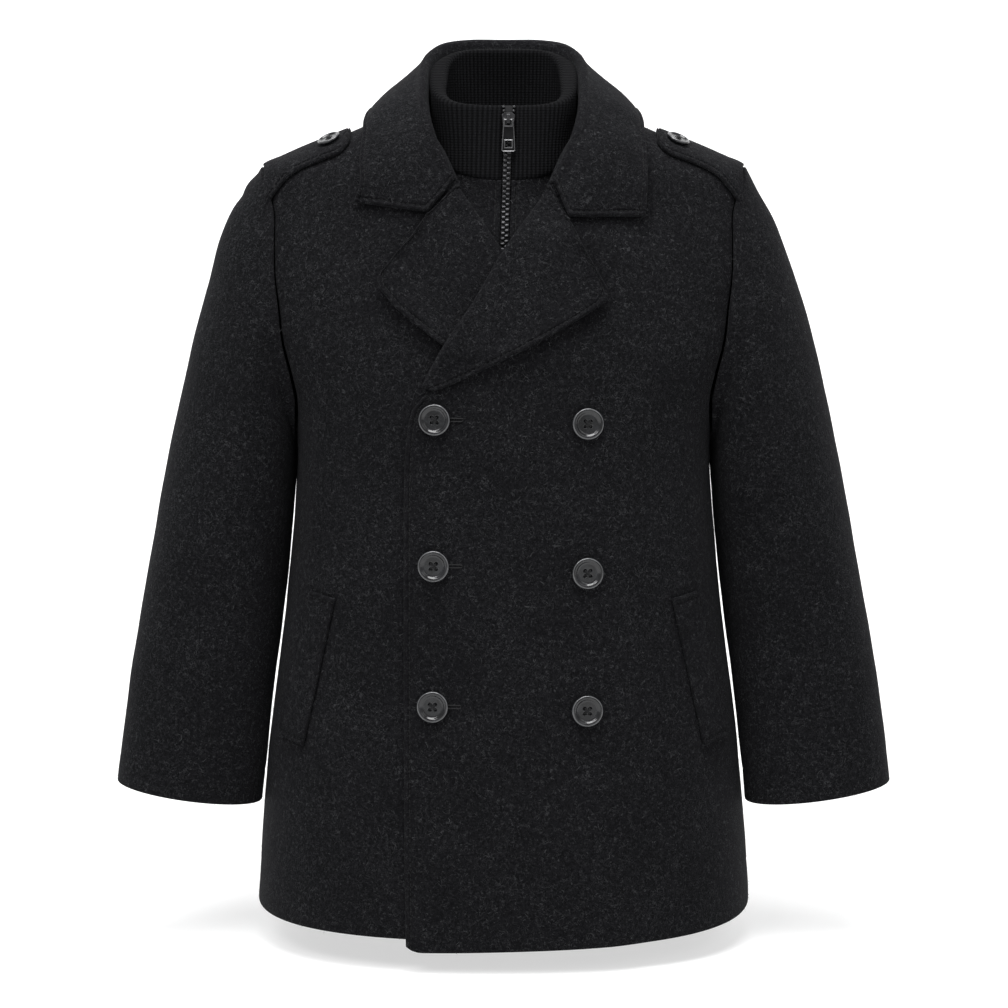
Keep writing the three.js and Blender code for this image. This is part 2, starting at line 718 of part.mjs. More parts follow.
// Zip chain: a strip between the edges of the knitted collar and the insert, forward of their middle layers
const chainHalfWidth = 2.6;
const chainThickness = 2;
const chainOnRib = 2.4;
const chainOnBib = 0.8;

// Front of the knitted collar's middle layer at a ring
function ribFront(ring) {
  return new THREE.Vector3(0, ring.middleY - ring.depth, ring.middleZ - ring.tilt);
}

function chainGrid() {
  const forward = (at, by) => new THREE.Vector3(0, at.y - by, at.z);
  const middles = ribRings.map((ring) => forward(ribFront(ring), chainOnRib)).reverse();
  for (let i = 0; i <= bibRows; i++) {
    const t = i / bibRows;
    const seam = ribFront(ribRings[0]);
    const z = mix(seam.z - bibTopDrop, bibFootZ, t);
    const fallen = smooth(0, 0.3, t);
    const y = mix(seam.y, onTorso(0, z, -bibDepth).point.y, fallen);
    middles.push(forward(new THREE.Vector3(0, y, z), mix(chainOnRib, chainOnBib, fallen)));
  }
  return middles.map((at) => {
    const x = zipX(at.z);
    return [-1, 1].map((side) => ({ point: new THREE.Vector3(x + side * chainHalfWidth, at.y, at.z) }));
  });
}

add('zip_chain', clothWall(chainGrid(), chainThickness), gunmetal);

// Solids for cutting and joining
function solidOf(geometry) {
  const bare = geometry.clone();
  bare.deleteAttribute('normal');
  bare.deleteAttribute('uv');
  const merged = mergeVertices(bare, 1e-4);
  return new wasm.Manifold(new wasm.Mesh({
    numProp: 3,
    vertProperties: merged.getAttribute('position').array,
    triVerts: new Uint32Array(merged.getIndex().array),
  }));
}

function geometryOf(solid) {
  const { vertProperties, triVerts } = solid.getMesh();
  const geometry = new THREE.BufferGeometry();
  geometry.setAttribute('position', new THREE.BufferAttribute(vertProperties, 3));
  geometry.setIndex(new THREE.BufferAttribute(triVerts, 1));
  return geometry;
}

// Four-hole button: a dished disc with a raised rim; its back lies at y = 0 and its face towards -Y
function buttonGeometry(diameter) {
  const r = diameter / 2;
  const profile = [
    [0, 0], [0.9 * r, 0], [r, 0.11 * r], [r, 0.24 * r], [0.93 * r, 0.32 * r],
    [0.8 * r, 0.32 * r], [0.68 * r, 0.22 * r], [0, 0.2 * r],
  ];
  const disc = new THREE.LatheGeometry(profile.map(([x, y]) => new THREE.Vector2(x, y)), 16);
  let button = solidOf(disc);
  for (const [x, z] of [[1, 1], [1, -1], [-1, 1], [-1, -1]]) {
    const hole = new THREE.CylinderGeometry(0.09 * r, 0.09 * r, r, 5);
    button = button.subtract(solidOf(hole.translate(x * 0.18 * r, 0, z * 0.18 * r)));
  }
  return geometryOf(button).rotateX(Math.PI);
}

function placeButton(name, diameter, at) {
  const button = add(name, buttonGeometry(diameter), horn);
  button.position.copy(at.point);
  button.quaternion.setFromUnitVectors(new THREE.Vector3(0, -1, 0), at.normal);
}

const buttonSeat = woolWall / 2 + 0.4;
const buttonPlaces = [
  { x: 51.4, z: -189.5 },
  { x: 51.4, z: -282.2 },
  { x: 51.4, z: -368.3 },
  { x: -42.2, z: -187 },
  { x: -42.9, z: -277.7 },
  { x: -43.6, z: -365.6 },
];
buttonPlaces.forEach(({ x, z }, i) => {
  const at = onTorso(turnAt(x, z), z, overlapLift(x, z) + buttonSeat);
  placeButton(`front_button_${i + 1}`, buttonDiameter, at);
});
for (const [name, side] of [['left', 1], ['right', -1]]) {
  const at = onShoulder(108.5, strapMiddle(108.5) - 3, strapLift + buttonSeat);
  placeButton(`shoulder_button_${name}`, shoulderButtonDiameter, side > 0 ? at : mirrored([at])[0]);
}

// Zip slider with its bail, and the pull hinged in it, in a frame that lies along the zip
const sliderZ = -5;
const zipSlope = Math.atan2(
  ribFront(ribRings[2]).y - ribFront(ribRings[1]).y,
  ribFront(ribRings[2]).z - ribFront(ribRings[1]).z,
);
const slider = { half: 4.2, length: 11, from: 0.35, thick: 1.8 };
const bail = { half: 1.1, top: 4.2, foot: -2.2, out: 3.4, wall: 0.9 };
const pull = { legOut: 3.3, legIn: 2.1, topHalf: 3.1, footHalf: 4.3, shoulder: -4.4, foot: -20.5, thick: 1 };

function plate(outline, holes, thickness, fromY) {
  const shape = new THREE.Shape(outline.map(([x, z]) => new THREE.Vector2(x, z)));
  shape.holes = holes.map((hole) => new THREE.Path(hole.map(([x, z]) => new THREE.Vector2(x, z))));
  const made = new THREE.ExtrudeGeometry(shape, { depth: thickness, bevelEnabled: false });
  return made.rotateX(Math.PI / 2).translate(0, fromY, 0);
}

const zipFrame = new THREE.Group();
const chainFace = chainThickness / 2;
const sliderPart = (sliderZ - ribFront(ribRings[1]).z) / (ribFront(ribRings[2]).z - ribFront(ribRings[1]).z);
const sliderY = mix(ribFront(ribRings[1]).y, ribFront(ribRings[2]).y, sliderPart) - chainOnRib;
zipFrame.position.set(zipX(sliderZ), sliderY, sliderZ);
zipFrame.rotation.x = -zipSlope;
coat.add(zipFrame);

function sliderGeometry() {
  const half = slider.length / 2;
  const face = -(chainFace + slider.from);
  const body = plate([
    [-slider.half, half - 1.5], [-slider.half * 0.7, -half], [slider.half * 0.7, -half],
    [slider.half, half - 1.5], [slider.half * 0.6, half], [-slider.half * 0.6, half],
  ], [], slider.thick, face);
  const front = face - slider.thick;
  const [inFoot, inTop, inOut] = [bail.foot + bail.wall, bail.top - bail.wall, bail.wall - bail.out];
  const arch = new THREE.Shape([
    [0.3, bail.foot], [-bail.out + 0.7, bail.foot], [-bail.out, bail.foot + 0.6],
    [-bail.out, bail.top - 0.6], [-bail.out + 0.7, bail.top], [0.3, bail.top],
    [0.3, inTop], [inOut, inTop], [inOut, inFoot], [0.3, inFoot],
  ].map(([y, z]) => new THREE.Vector2(y, z)));
  const loop = new THREE.ExtrudeGeometry(arch, { depth: 2 * bail.half, bevelEnabled: false });
  loop.translate(0, 0, -bail.half);
  loop.applyMatrix4(new THREE.Matrix4().set(0, 0, 1, 0, 1, 0, 0, front, 0, 1, 0, 0, 0, 0, 0, 1));
  return geometryOf(solidOf(body).add(solidOf(loop)));
}

const hingeY = -(chainFace + slider.from + slider.thick) - 1.35;
const hingeZ = 1;

function pullGeometry() {
  const outline = [
    [-pull.legOut, 0.6], [-pull.legOut, pull.shoulder], [-pull.topHalf - 0.3, pull.shoulder - 1],
    [-pull.footHalf, pull.foot + 0.8], [-pull.footHalf + 0.8, pull.foot],
    [pull.footHalf - 0.8, pull.foot], [pull.footHalf, pull.foot + 0.8],
    [pull.topHalf + 0.3, pull.shoulder - 1], [pull.legOut, pull.shoulder], [pull.legOut, 0.6],
  ];
  const sill = pull.shoulder + 0.3;
  const window = [[-pull.legIn, -0.6], [pull.legIn, -0.6], [pull.legIn, sill], [-pull.legIn, sill]];
  const hollow = [[-2.1, -13.5], [2.1, -13.5], [2.1, -17.8], [-2.1, -17.8]];
  return plate(outline, [window, hollow], pull.thick, pull.thick / 2).translate(0, hingeY, hingeZ);
}

const sliderMesh = add('zip_slider', sliderGeometry(), gunmetal);
const pullMesh = add('zip_pull', pullGeometry(), gunmetal);
zipFrame.add(sliderMesh, pullMesh);

export default coat;
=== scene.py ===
# A boy's double-breasted pea coat in charcoal melton, hollow as worn, on a pale floor.
# Shapes are worked out in millimetres and put into the meshes in metres.
import bmesh
import bpy
import numpy as np
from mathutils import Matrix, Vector


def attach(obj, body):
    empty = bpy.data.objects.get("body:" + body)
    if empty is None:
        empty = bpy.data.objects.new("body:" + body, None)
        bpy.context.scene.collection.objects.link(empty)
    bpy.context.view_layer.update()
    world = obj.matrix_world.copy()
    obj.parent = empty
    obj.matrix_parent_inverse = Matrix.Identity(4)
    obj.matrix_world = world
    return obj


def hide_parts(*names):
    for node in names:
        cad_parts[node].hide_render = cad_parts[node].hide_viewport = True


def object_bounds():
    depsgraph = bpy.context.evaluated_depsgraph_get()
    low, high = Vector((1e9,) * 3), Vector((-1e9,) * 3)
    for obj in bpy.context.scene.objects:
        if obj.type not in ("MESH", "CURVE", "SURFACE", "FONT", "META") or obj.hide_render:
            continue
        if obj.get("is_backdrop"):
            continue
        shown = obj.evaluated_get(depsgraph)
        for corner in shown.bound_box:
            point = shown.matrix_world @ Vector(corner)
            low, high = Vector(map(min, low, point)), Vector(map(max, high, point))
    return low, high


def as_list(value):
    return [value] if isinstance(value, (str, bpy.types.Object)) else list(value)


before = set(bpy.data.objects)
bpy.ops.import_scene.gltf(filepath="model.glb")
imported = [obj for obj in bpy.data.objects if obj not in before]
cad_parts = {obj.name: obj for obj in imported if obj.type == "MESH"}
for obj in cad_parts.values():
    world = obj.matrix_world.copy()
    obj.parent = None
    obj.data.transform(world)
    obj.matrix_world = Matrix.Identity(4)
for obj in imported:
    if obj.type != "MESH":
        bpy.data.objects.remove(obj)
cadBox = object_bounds()
mm = 0.001
degree = np.pi / 180
chance = np.random.default_rng(27)
print("frame loaded,", len(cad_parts), "nodes")

# what a user may change about the cloth as a whole, in mm
cloth = {
    "woolWall": 2.4,
    "collarWall": 3.6,
    "layerGap": 0.45,
    "hemZ": -511.0,
    "hemDip": 3.5,
    "hemSweep": 110.0,
    "leftHemDrop": 8.0,
    "underarmZ": -205.0,
    "shoulderTipZ": -38.5,
    "neckPointZ": 0.0,
    "backNeckZ": 5.0,
    "gorgeZ": -52.0,
    "frontEdgeX": 61.0,
    "armholeDepth": 50.0,
    "stitchIn": 3.6,        # topstitching, from the edge
    "grooveDepth": 0.85,
    "waver": 0.55,          # slow unevenness of every panel
}
layerStep = cloth["woolWall"] + cloth["layerGap"]
lapelLift = layerStep + 0.5

# height, half width, depth in front, depth behind, squareness
torsoRings = np.array([
    [20, 46, 40, 46, 2.1], [8, 53, 44, 50, 2.1], [0, 64, 47, 55, 2.1], [-8.5, 85, 50, 60, 2.1],
    [-17, 105, 52.5, 64, 2.1], [-28.5, 133, 56, 69, 2.1], [-38.5, 153, 59.5, 73, 2.1],
    [-50, 159, 64, 77, 2.15], [-62, 162, 67.5, 80.5, 2.2], [-80, 164.5, 73, 84.5, 2.35],
    [-100, 163, 79, 87.5, 2.5], [-121.5, 157.5, 84.5, 89.5, 2.6], [-143, 150.5, 89.5, 90.5, 2.7],
    [-163, 142, 93, 90.5, 2.7], [-180, 135.5, 95, 90, 2.7], [-205, 131.8, 97, 89, 2.7],
    [-240, 132.8, 98.5, 89.5, 2.7], [-312, 139.5, 102, 93, 2.65], [-390, 149.5, 107.5, 98.5, 2.6],
    [-470, 157.2, 113, 104, 2.5], [-530, 160.8, 117, 108, 2.5]], float)


def smooth(low, high, value):
    # 0 below low, 1 above high, and 3t^2 - 2t^3 between
    t = np.clip((value - low) / (high - low), 0, 1)
    return t * t * (3 - 2 * t)


def mix(a, b, t):
    # straight line from a to b
    return a + (b - a) * t


def tableAt(table, z):
    # cubic Hermite curve through the rows of a table whose first column is a falling height
    z = np.asarray(z, float)
    last = len(table) - 1
    k = np.clip(np.searchsorted(-table[:, 0], -z, side="right") - 1, 0, last - 1)
    before, a, b, after = table[np.maximum(k - 1, 0)], table[k], table[k + 1], table[np.minimum(k + 2, last)]
    span = a[..., :1] - b[..., :1]
    t = np.clip((a[..., :1] - z[..., None]) / span, 0, 1)
    slopeA = (b - before) / np.maximum(1e-6, before[..., :1] - b[..., :1]) * span
    slopeB = (after - a) / np.maximum(1e-6, a[..., :1] - after[..., :1]) * span
    return ((2 * t**3 - 3 * t**2 + 1) * a + (t**3 - 2 * t**2 + t) * slopeA
            + (3 * t**2 - 2 * t**3) * b + (t**3 - t**2) * slopeB)


def torsoPoint(turn, z):
    # superellipse round the body: |x / width|^n + |y / depth|^n = 1, its ring read from the table at z
    turn, z = np.broadcast_arrays(turn, z)
    ring = tableAt(torsoRings, z)
    width, front, back, n = ring[..., 1], ring[..., 2], ring[..., 3], ring[..., 4]
    s, c = np.sin(turn), np.cos(turn)
    reach = (np.abs(s) ** n + np.abs(c) ** n) ** (-1 / n)
    return np.stack([width * reach * s, -np.where(c > 0, front, back) * reach * c, z], -1)


def unit(v):
    # v over its own length
    return v / np.maximum(np.linalg.norm(v, axis=-1, keepdims=True), 1e-9)


def onTorso(turn, z, lift):
    # torso point moved out by a lift along the surface's normal, found from small steps in turn and z
    around = torsoPoint(turn + 0.01, z) - torsoPoint(turn - 0.01, z)
    down = torsoPoint(turn, z - 1) - torsoPoint(turn, z + 1)
    normal = unit(np.cross(down, around))
    return torsoPoint(turn, z) + np.asarray(lift)[..., None] * normal


def turnAt(x, z):
    # the turn at which the front of the torso has a given x
    x, z = np.broadcast_arrays(np.asarray(x, float), np.asarray(z, float))
    ring = tableAt(torsoRings, z)
    part = np.minimum(0.9999, np.abs(x) / ring[..., 1])
    return np.sign(x) * np.arctan2(part, (1 - part ** ring[..., 4]) ** (1 / ring[..., 4]))


def splineThrough(points, t, root=0.5):
    # Catmull-Rom curve along axis 1 through every point; gaps are chord lengths to the power of root
    points = np.asarray(points, float)
    first = 2 * points[:, :1] - points[:, 1:2]
    final = 2 * points[:, -1:] - points[:, -2:-1]
    p = np.concatenate([first, points, final], axis=1)
    k = np.clip(np.floor(t).astype(int), 0, points.shape[1] - 2)
    f = (np.asarray(t) - k)[None, :, None]
    a, b, c, d = p[:, k], p[:, k + 1], p[:, k + 2], p[:, k + 3]
    gap = lambda m, n: np.maximum(np.linalg.norm(n - m, axis=-1, keepdims=True), 1e-6) ** root
    ab, bc, cd = gap(a, b), gap(b, c), gap(c, d)
    slopeB = ((b - a) / ab - (c - a) / (ab + bc) + (c - b) / bc) * bc
    slopeC = ((c - b) / bc - (d - b) / (bc + cd) + (d - c) / cd) * bc
    return ((2 * f**3 - 3 * f**2 + 1) * b + (f**3 - 2 * f**2 + f) * slopeB
            + (3 * f**2 - 2 * f**3) * c + (f**3 - f**2) * slopeC)


def mirrored(points):
    # the same points with x turned round
    return points * np.array([-1.0, 1, 1])


# building meshes

def gridNormals(points, closed=False):
    # cross product of the steps along columns and along rows
    if closed:
        across = np.roll(points, -1, 1) - np.roll(points, 1, 1)
    else:
        across = np.gradient(points, axis=1)
    return unit(np.cross(unit(across), unit(np.gradient(points, axis=0))))


def makeMesh(name, points, faces, material, body="coat", shades=None, flatShaded=False):
    # points in mm and equal-sided faces go into one mesh whose object sits at the origin
    shape = faces.shape
    used, faces = np.unique(faces, return_inverse=True)
    faces = faces.reshape(shape)
    mesh = bpy.data.meshes.new(name)
    mesh.vertices.add(len(used))
    mesh.vertices.foreach_set("co", (points[used] * mm).astype(np.float32).ravel())
    count, sides = faces.shape
    mesh.loops.add(count * sides)
    mesh.loops.foreach_set("vertex_index", faces.astype(np.int32).ravel())
    mesh.polygons.add(count)
    mesh.polygons.foreach_set("loop_start", np.arange(0, count * sides, sides, dtype=np.int32))
    mesh.polygons.foreach_set("loop_total", np.full(count, sides, dtype=np.int32))
    mesh.polygons.foreach_set("use_smooth", np.full(count, not flatShaded))
    mesh.update(calc_edges=True)
    if shades is not None:
        mesh.attributes.new("shade", "FLOAT", "POINT").data.foreach_set("value",
            shades[used].astype(np.float32))
    mesh.materials.append(material)
    piece = bpy.data.objects.new(name, mesh)
    bpy.context.scene.collection.objects.link(piece)
    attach(piece, body)
    return piece


def gridFaces(index, closed=False):
    # one quad between each four neighbours of an index grid
    right = np.roll(index, -1, 1) if closed else index[:, 1:]
    left = index if closed else index[:, :-1]
    return np.stack([left[:-1], right[:-1], right[1:], left[1:]], -1).reshape(-1, 4)


def respaced(grid, near, far, step):
    # columns at set distances in from both ends of every row, and even ones of about one step between them
    run = np.linalg.norm(np.diff(grid[..., :3], axis=1), axis=2)
    along = np.concatenate([np.zeros((len(grid), 1)), np.cumsum(run, axis=1)], axis=1)
    whole = along[:, -1:]
    near, far = np.array(near, float), np.array(far, float)
    fit = np.minimum(1, 0.8 * whole / (near[-1] + far[-1] + 1e-9))
    middle = np.linspace(0, 1, max(3, int(whole.max() / step)) + 1)[1:-1]
    start, end = near[-1] * fit, whole - far[-1] * fit
    wanted = np.concatenate([near * fit, start + (end - start) * middle, whole - far[::-1] * fit], axis=1)
    below = (along[:, None, :] <= wanted[:, :, None] + 1e-7).sum(axis=2) - 1
    below = np.clip(below, 0, grid.shape[1] - 2)
    a, b = np.take_along_axis(along, below, 1), np.take_along_axis(along, below + 1, 1)
    part = np.clip((wanted - a) / np.maximum(b - a, 1e-9), 0, 1)[..., None]
    pick = np.repeat(below[..., None], grid.shape[2], 2)
    low, high = np.take_along_axis(grid, pick, 1), np.take_along_axis(grid, pick + 1, 1)
    return np.concatenate([mix(low, high, part), wanted[..., None], (whole - wanted)[..., None]], axis=2)


def waver(points, size, amount):
    # slow unevenness: a sum of five sine waves in slanted directions, scaled to an amount in mm
    wave = np.zeros(points.shape[:-1])
    for k, (a, b, c, p) in enumerate([(1, .3, .5, 0), (-.4, 1, .8, 1.7), (.7, -.6, 1.3, 3.1),
            (-1.2, .5, -.4, 4.4), (.2, 1.1, -1.6, 5.2)]):
        wave += np.sin((points @ np.array([a, b, c])) / size * (1 + 0.37 * k) * 2 + p) / (1 + 0.5 * k)
    return wave * amount / 3


def softFolds(points, folds):
    # each fold: a line between two points, half width and height; height * exp(-(distance / width)^2), fading
    # at its ends
    lift = np.zeros(points.shape[:-1])
    for start, end, width, height in folds:
        a, line = np.array(start, float), np.array(end, float) - np.array(start, float)
        part = np.clip(((points - a) @ line) / (line @ line), 0, 1)
        away = np.linalg.norm(points - a - part[..., None] * line, axis=-1)
        fade = smooth(0, 0.3, part) * (1 - smooth(0.55, 1, part)) + 0.25
        lift += height * fade * np.exp(-(away / width) ** 2)
    return lift


clothPieces = {}


def makeCloth(name, grid, wall, step, material, stitched="", hems=(), folds=(), closed=False,
              relief=None, calm=1.0, node=None, rowStep=None, bothSides=False, shade=None):
    # two layers either side of a middle grid, half a wall from it along its normal; the layers meet in a
    # round edge, where the half wall is h * sqrt(1 - (1 - d / h)^2) at a distance d from the edge; stitched
    # edges get a groove
    h = wall / 2
    plain = [0, 0.03 * h, 0.18 * h, 0.5 * h, h]
    s = cloth["stitchIn"]
    sewn = plain + [s - 1.3, s - 0.75, s - 0.35, s, s + 0.35, s + 0.8, s + 1.6]
    spacing = lambda side: sewn if side in stitched else plain
    if closed:
        grid = np.concatenate([grid, grid[..., :1] * 0 + 99, grid[..., :1] * 0 + 99], axis=2)
    else:
        grid = respaced(grid, spacing("L"), spacing("R"), step)
    grid = respaced(grid.transpose(1, 0, 2), spacing("B"), spacing("T"), rowStep or step).transpose(1, 0, 2)
    middle, away = grid[..., :3], grid[..., -4:]
    normal = gridNormals(middle, closed)
    centre = np.array([0, 0, -150.0]) if not closed else middle.mean(axis=1, keepdims=True)
    if ((middle - centre) * normal).sum(axis=2).mean() < 0:
        normal = -normal
    lift = waver(middle, 42, cloth["waver"] * calm) + softFolds(middle, folds)
    free = 1 - np.exp(-(away.min(axis=2) / 9) ** 2)
    middle = middle + normal * (lift * free)[..., None]
    roundOff = np.sqrt(1 - (1 - np.clip(away / h, 0, 1)) ** 2).prod(axis=2)
    raised = np.zeros(roundOff.shape)
    for k, side in enumerate("LRBT"):
        if side in stitched:
            raised -= cloth["grooveDepth"] * np.exp(-((away[..., k] - s) / 0.75) ** 2)
            raised += 0.4 * np.exp(-((away[..., k] - s / 2) / 1.1) ** 2)
    for k, distance, depth in hems:
        raised -= depth * np.exp(-((away[..., k] - distance) / 1.3) ** 2)
    if relief is not None:
        raised = raised + relief(grid)
    outer = middle + normal * ((h + raised) * roundOff)[..., None]
    inner = middle - normal * ((h + (raised if bothSides else 0)) * roundOff)[..., None]
    rows, columns = outer.shape[:2]
    index = np.arange(rows * columns).reshape(rows, columns)
    inside = index + rows * columns
    rim = np.zeros((rows, columns), bool)
    rim[[0, -1]] = True
    if not closed:
        rim[:, [0, -1]] = True
    inside = np.where(rim, index, inside)
    faces = np.concatenate([gridFaces(index, closed), gridFaces(inside, closed)[:, ::-1]])
    points = np.concatenate([outer.reshape(-1, 3), inner.reshape(-1, 3)])
    a, b, c = points[faces[:, 0]], points[faces[:, 1]], points[faces[:, 2]]
    d = points[faces[:, 3]]
    volume = (a * np.cross(b, c)).sum() + (a * np.cross(c, d)).sum()
    if volume < 0:
        faces = faces[:, ::-1]
    piece = makeMesh(name, points, faces, material, shades=None if shade is None
        else np.tile(shade(grid).ravel(), 2))
    if node:
        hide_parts(node)
    clothPieces[name] = {"piece": piece, "outer": outer, "normal": gridNormals(outer, closed)
        * np.sign((gridNormals(outer, closed) * normal).sum()), "away": away, "wall": wall}
    area = sum(np.linalg.norm(np.cross(p - a, q - a), axis=1).sum() / 4 for p, q in ((b, c), (c, d)))
    print(f"{name}: {len(faces)} quads, {area / 1e6:.5f} m2 of cloth")
    return piece


# materials

class Value:
    # a node's output on which + - * / and the like add Math nodes
    def __init__(self, finish, socket):
        self.finish, self.socket = finish, socket

    def math(self, operation, *others, clamp=False):
        inputs = dict(enumerate([self, *others]))
        return self.finish.node("ShaderNodeMath", {"operation": operation, "use_clamp": clamp}, inputs)

    def __add__(self, other): return self.math("ADD", other)
    def __radd__(self, other): return self.math("ADD", other)
    def __mul__(self, other): return self.math("MULTIPLY", other)
    def __rmul__(self, other): return self.math("MULTIPLY", other)
    def __sub__(self, other): return self.math("SUBTRACT", other)
    def __rsub__(self, other): return (self * -1.0) + other
    def __truediv__(self, other): return self.math("DIVIDE", other)
    def __pow__(self, other): return self.math("POWER", other)
    def __neg__(self): return self * -1.0
    def size(self): return self.math("ABSOLUTE")

    def between(self, low, high):
        # 0 at low and below, 1 at high and above, eased
        settings = {"interpolation_type": "SMOOTHSTEP", "clamp": True}
        return self.finish.node("ShaderNodeMapRange", settings, {0: self, 1: low, 2: high, 3: 0.0, 4: 1.0})


class Finish:
    # a material whose nodes all come from one method
    def __init__(self, name):
        self.material = bpy.data.materials.new(name)
        self.material.use_nodes = True
        self.tree = self.material.node_tree
        self.tree.nodes.clear()
        self.place = self.node("ShaderNodeTexCoord", out="Object")

    def node(self, kind, settings=None, inputs=None, out=0):
        made = self.tree.nodes.new(kind)
        for key, value in (settings or {}).items():
            if key == "stops":
                ramp = made.color_ramp
                while len(ramp.elements) < len(value):
                    ramp.elements.new(0.5)
                for element, (position, color) in zip(ramp.elements, value):
                    element.position, element.color = position, color
            else:
                setattr(made, key, value)
        for key, value in (inputs or {}).items():
            if isinstance(value, Value):
                self.tree.links.new(value.socket, made.inputs[key])
            else:
                made.inputs[key].default_value = value
        return Value(self, made.outputs[out]) if len(made.outputs) else None

    def noise(self, scale, detail=2.0, roughness=0.5, distortion=0.0, shift=(0, 0, 0), stretch=(1, 1, 1)):
        place = self.node("ShaderNodeMapping", {}, {0: self.place, 1: shift, 3: stretch})
        return self.node("ShaderNodeTexNoise", {}, {"Vector": place, "Scale": scale, "Detail": detail,
            "Roughness": roughness, "Distortion": distortion})

    def colors(self, part, a, b):
        # colour a where part is 0 and b where it is 1
        a, b = [(*v, 1) if isinstance(v, tuple) else v for v in (a, b)]
        return self.node("ShaderNodeMix", {"data_type": "RGBA"}, {0: part, 6: a, 7: b}, out=2)

    def finished(self, inputs, bumps=()):
        # bumps: (height, depth in metres), each on top of the one before
        normal = None
        for height, depth in bumps:
            given = {"Height": height, "Distance": depth, "Strength": 1.0}
            if normal:
                given["Normal"] = normal
            normal = self.node("ShaderNodeBump", {}, given)
        if normal:
            inputs = {**inputs, "Normal": normal}
        shader = self.node("ShaderNodeBsdfPrincipled", {}, inputs)
        out = self.tree.nodes.new("ShaderNodeOutputMaterial")
        self.tree.links.new(shader.socket, out.inputs[0])
        return self.material


meltonLook = {
    "dark": (0.0022, 0.0022, 0.0027),
    "pale": (0.0088, 0.0089, 0.0101),
    "fibre": (0.048, 0.049, 0.052),
    "fibreWidth": 0.030,
    "sheen": 0.03,
}


def meltonMaterial(name, look):
    # dark felted ground; pale fibres are the thin level lines of a noise, broken up by a second noise
    f = Finish(name)
    felt = f.noise(950, 4, 0.62)
    mottle = f.noise(420, 3, 0.6, shift=(3, 1, 2))
    cloud = f.noise(26, 2, 0.5, shift=(1, 4, 2))
    ground = (felt * 0.6 + mottle * 0.4).between(0.36, 0.66)
    fibres = None
    for scale, shift, cut, share in ((420, (0, 0, 0), 0.52, 1.0), (300, (7, 2, 5), 0.53, 0.7),
            (560, (2, 9, 4), 0.5, 0.6)):
        level = (f.noise(scale, 1.2, 0.5, 0.9, shift) - 0.5).size()
        line = (1 - level.between(0.0, look["fibreWidth"])) * f.noise(scale * 0.9, 1, 0.5, 0,
            (5, 3, 8)).between(cut, cut + 0.07) * share
        fibres = line if fibres is None else fibres + line
    color = f.colors(ground, look["dark"], look["pale"])
    color = f.colors(fibres.math("MINIMUM", 1.0) * 0.75, color, look["fibre"])
    color = f.colors(cloud.between(0.35, 0.7) * 0.25, color, look["dark"])
    rough = 0.86 + felt * 0.14
    return f.finished({"Base Color": color, "Roughness": rough, "Specular IOR Level": 0.06,
        "Sheen Weight": look["sheen"], "Sheen Roughness": 0.45, "Sheen Tint": (0.55, 0.56, 0.6, 1)},
        [(felt, 0.0007), (fibres, 0.00018)])


ribLook = {"dark": (0.0019, 0.0019, 0.0022), "pale": (0.0067, 0.0069, 0.0077), "stitchScale": 190.0}
# rim: the colour of a highlight painted round each button's rim
hornLook = {"dark": (0.0035, 0.0038, 0.0045), "pale": (0.012, 0.0128, 0.0145), "rim": (0.11, 0.112, 0.116)}
fibreLook = {"dark": (0.006, 0.0062, 0.007), "pale": (0.105, 0.107, 0.112)}


def ribMaterial(name):
    # near-black fine knit: rows of stitches follow the height, with a little fluff, and painted shade between
    # the ribs
    f = Finish(name)
    fluff = f.noise(900, 4, 0.6)
    rows = f.node("ShaderNodeTexWave", {"bands_direction": "Z"}, {"Vector": f.place,
        "Scale": ribLook["stitchScale"], "Distortion": 1.2, "Detail": 1.0, "Detail Scale": 3.0})
    # painted shade: the valleys between ribs darker and the rib tops paler, read from the shade attribute
    top = f.node("ShaderNodeAttribute", {"attribute_name": "shade"}, out="Fac").between(0.35, 0.95)
    color = f.colors(top * (0.45 + fluff.between(0.35, 0.7) * 0.55), ribLook["dark"], ribLook["pale"])
    return f.finished({"Base Color": color, "Roughness": 0.85 + fluff * 0.15, "Specular IOR Level": 0.05,
        "Sheen Weight": 0.02, "Sheen Roughness": 0.5, "Sheen Tint": (0.5, 0.5, 0.52, 1)},
        [(rows, 0.00016), (fluff, 0.0003)])


def hornMaterial(name):
    # dark polished horn with a faint cloud, fine scratches and a painted highlight round the rim
    f = Finish(name)
    cloud = f.noise(130, 3, 0.6, 0.8)
    fine = f.noise(1500, 2, 0.6, stretch=(1, 1, 0.2))
    color = f.colors(cloud.between(0.38, 0.66), hornLook["dark"], hornLook["pale"])
    # painted highlight: a pale ring round the rim, mixed into the base colour where the lamps would catch the
    # edge
    worn = f.node("ShaderNodeAttribute", {"attribute_name": "shade"}, out="Fac")
    color = f.colors(worn * (0.35 + cloud * 0.65), color, hornLook["rim"])
    return f.finished({"Base Color": color, "Roughness": 0.16 + cloud * 0.12, "Coat Weight": 0.3,
        "Coat Roughness": 0.06, "Specular IOR Level": 0.4}, [(fine, 0.00001)])


def metalMaterial(name, a, b):
    # gunmetal plating, duller in a slow cloud
    f = Finish(name)
    cloud = f.noise(260, 3, 0.6)
    return f.finished({"Base Color": f.colors(cloud, a, b), "Metallic": 0.92, "Roughness": 0.24 + cloud
        * 0.22}, [(f.noise(1800, 2, 0.5), 0.00001)])


def threadMaterial(name, a, b, scale):
    # twisted thread or tape: a slanted wave over a fine noise
    f = Finish(name)
    twist = f.node("ShaderNodeTexWave", {"bands_direction": "DIAGONAL"}, {"Vector": f.place, "Scale": scale,
        "Distortion": 0.6})
    color = f.colors(twist * 0.6 + f.noise(900) * 0.4, a, b)
    return f.finished({"Base Color": color, "Roughness": 0.7 + twist * 0.2, "Specular IOR Level": 0.3},
        [(twist, 0.00008)])


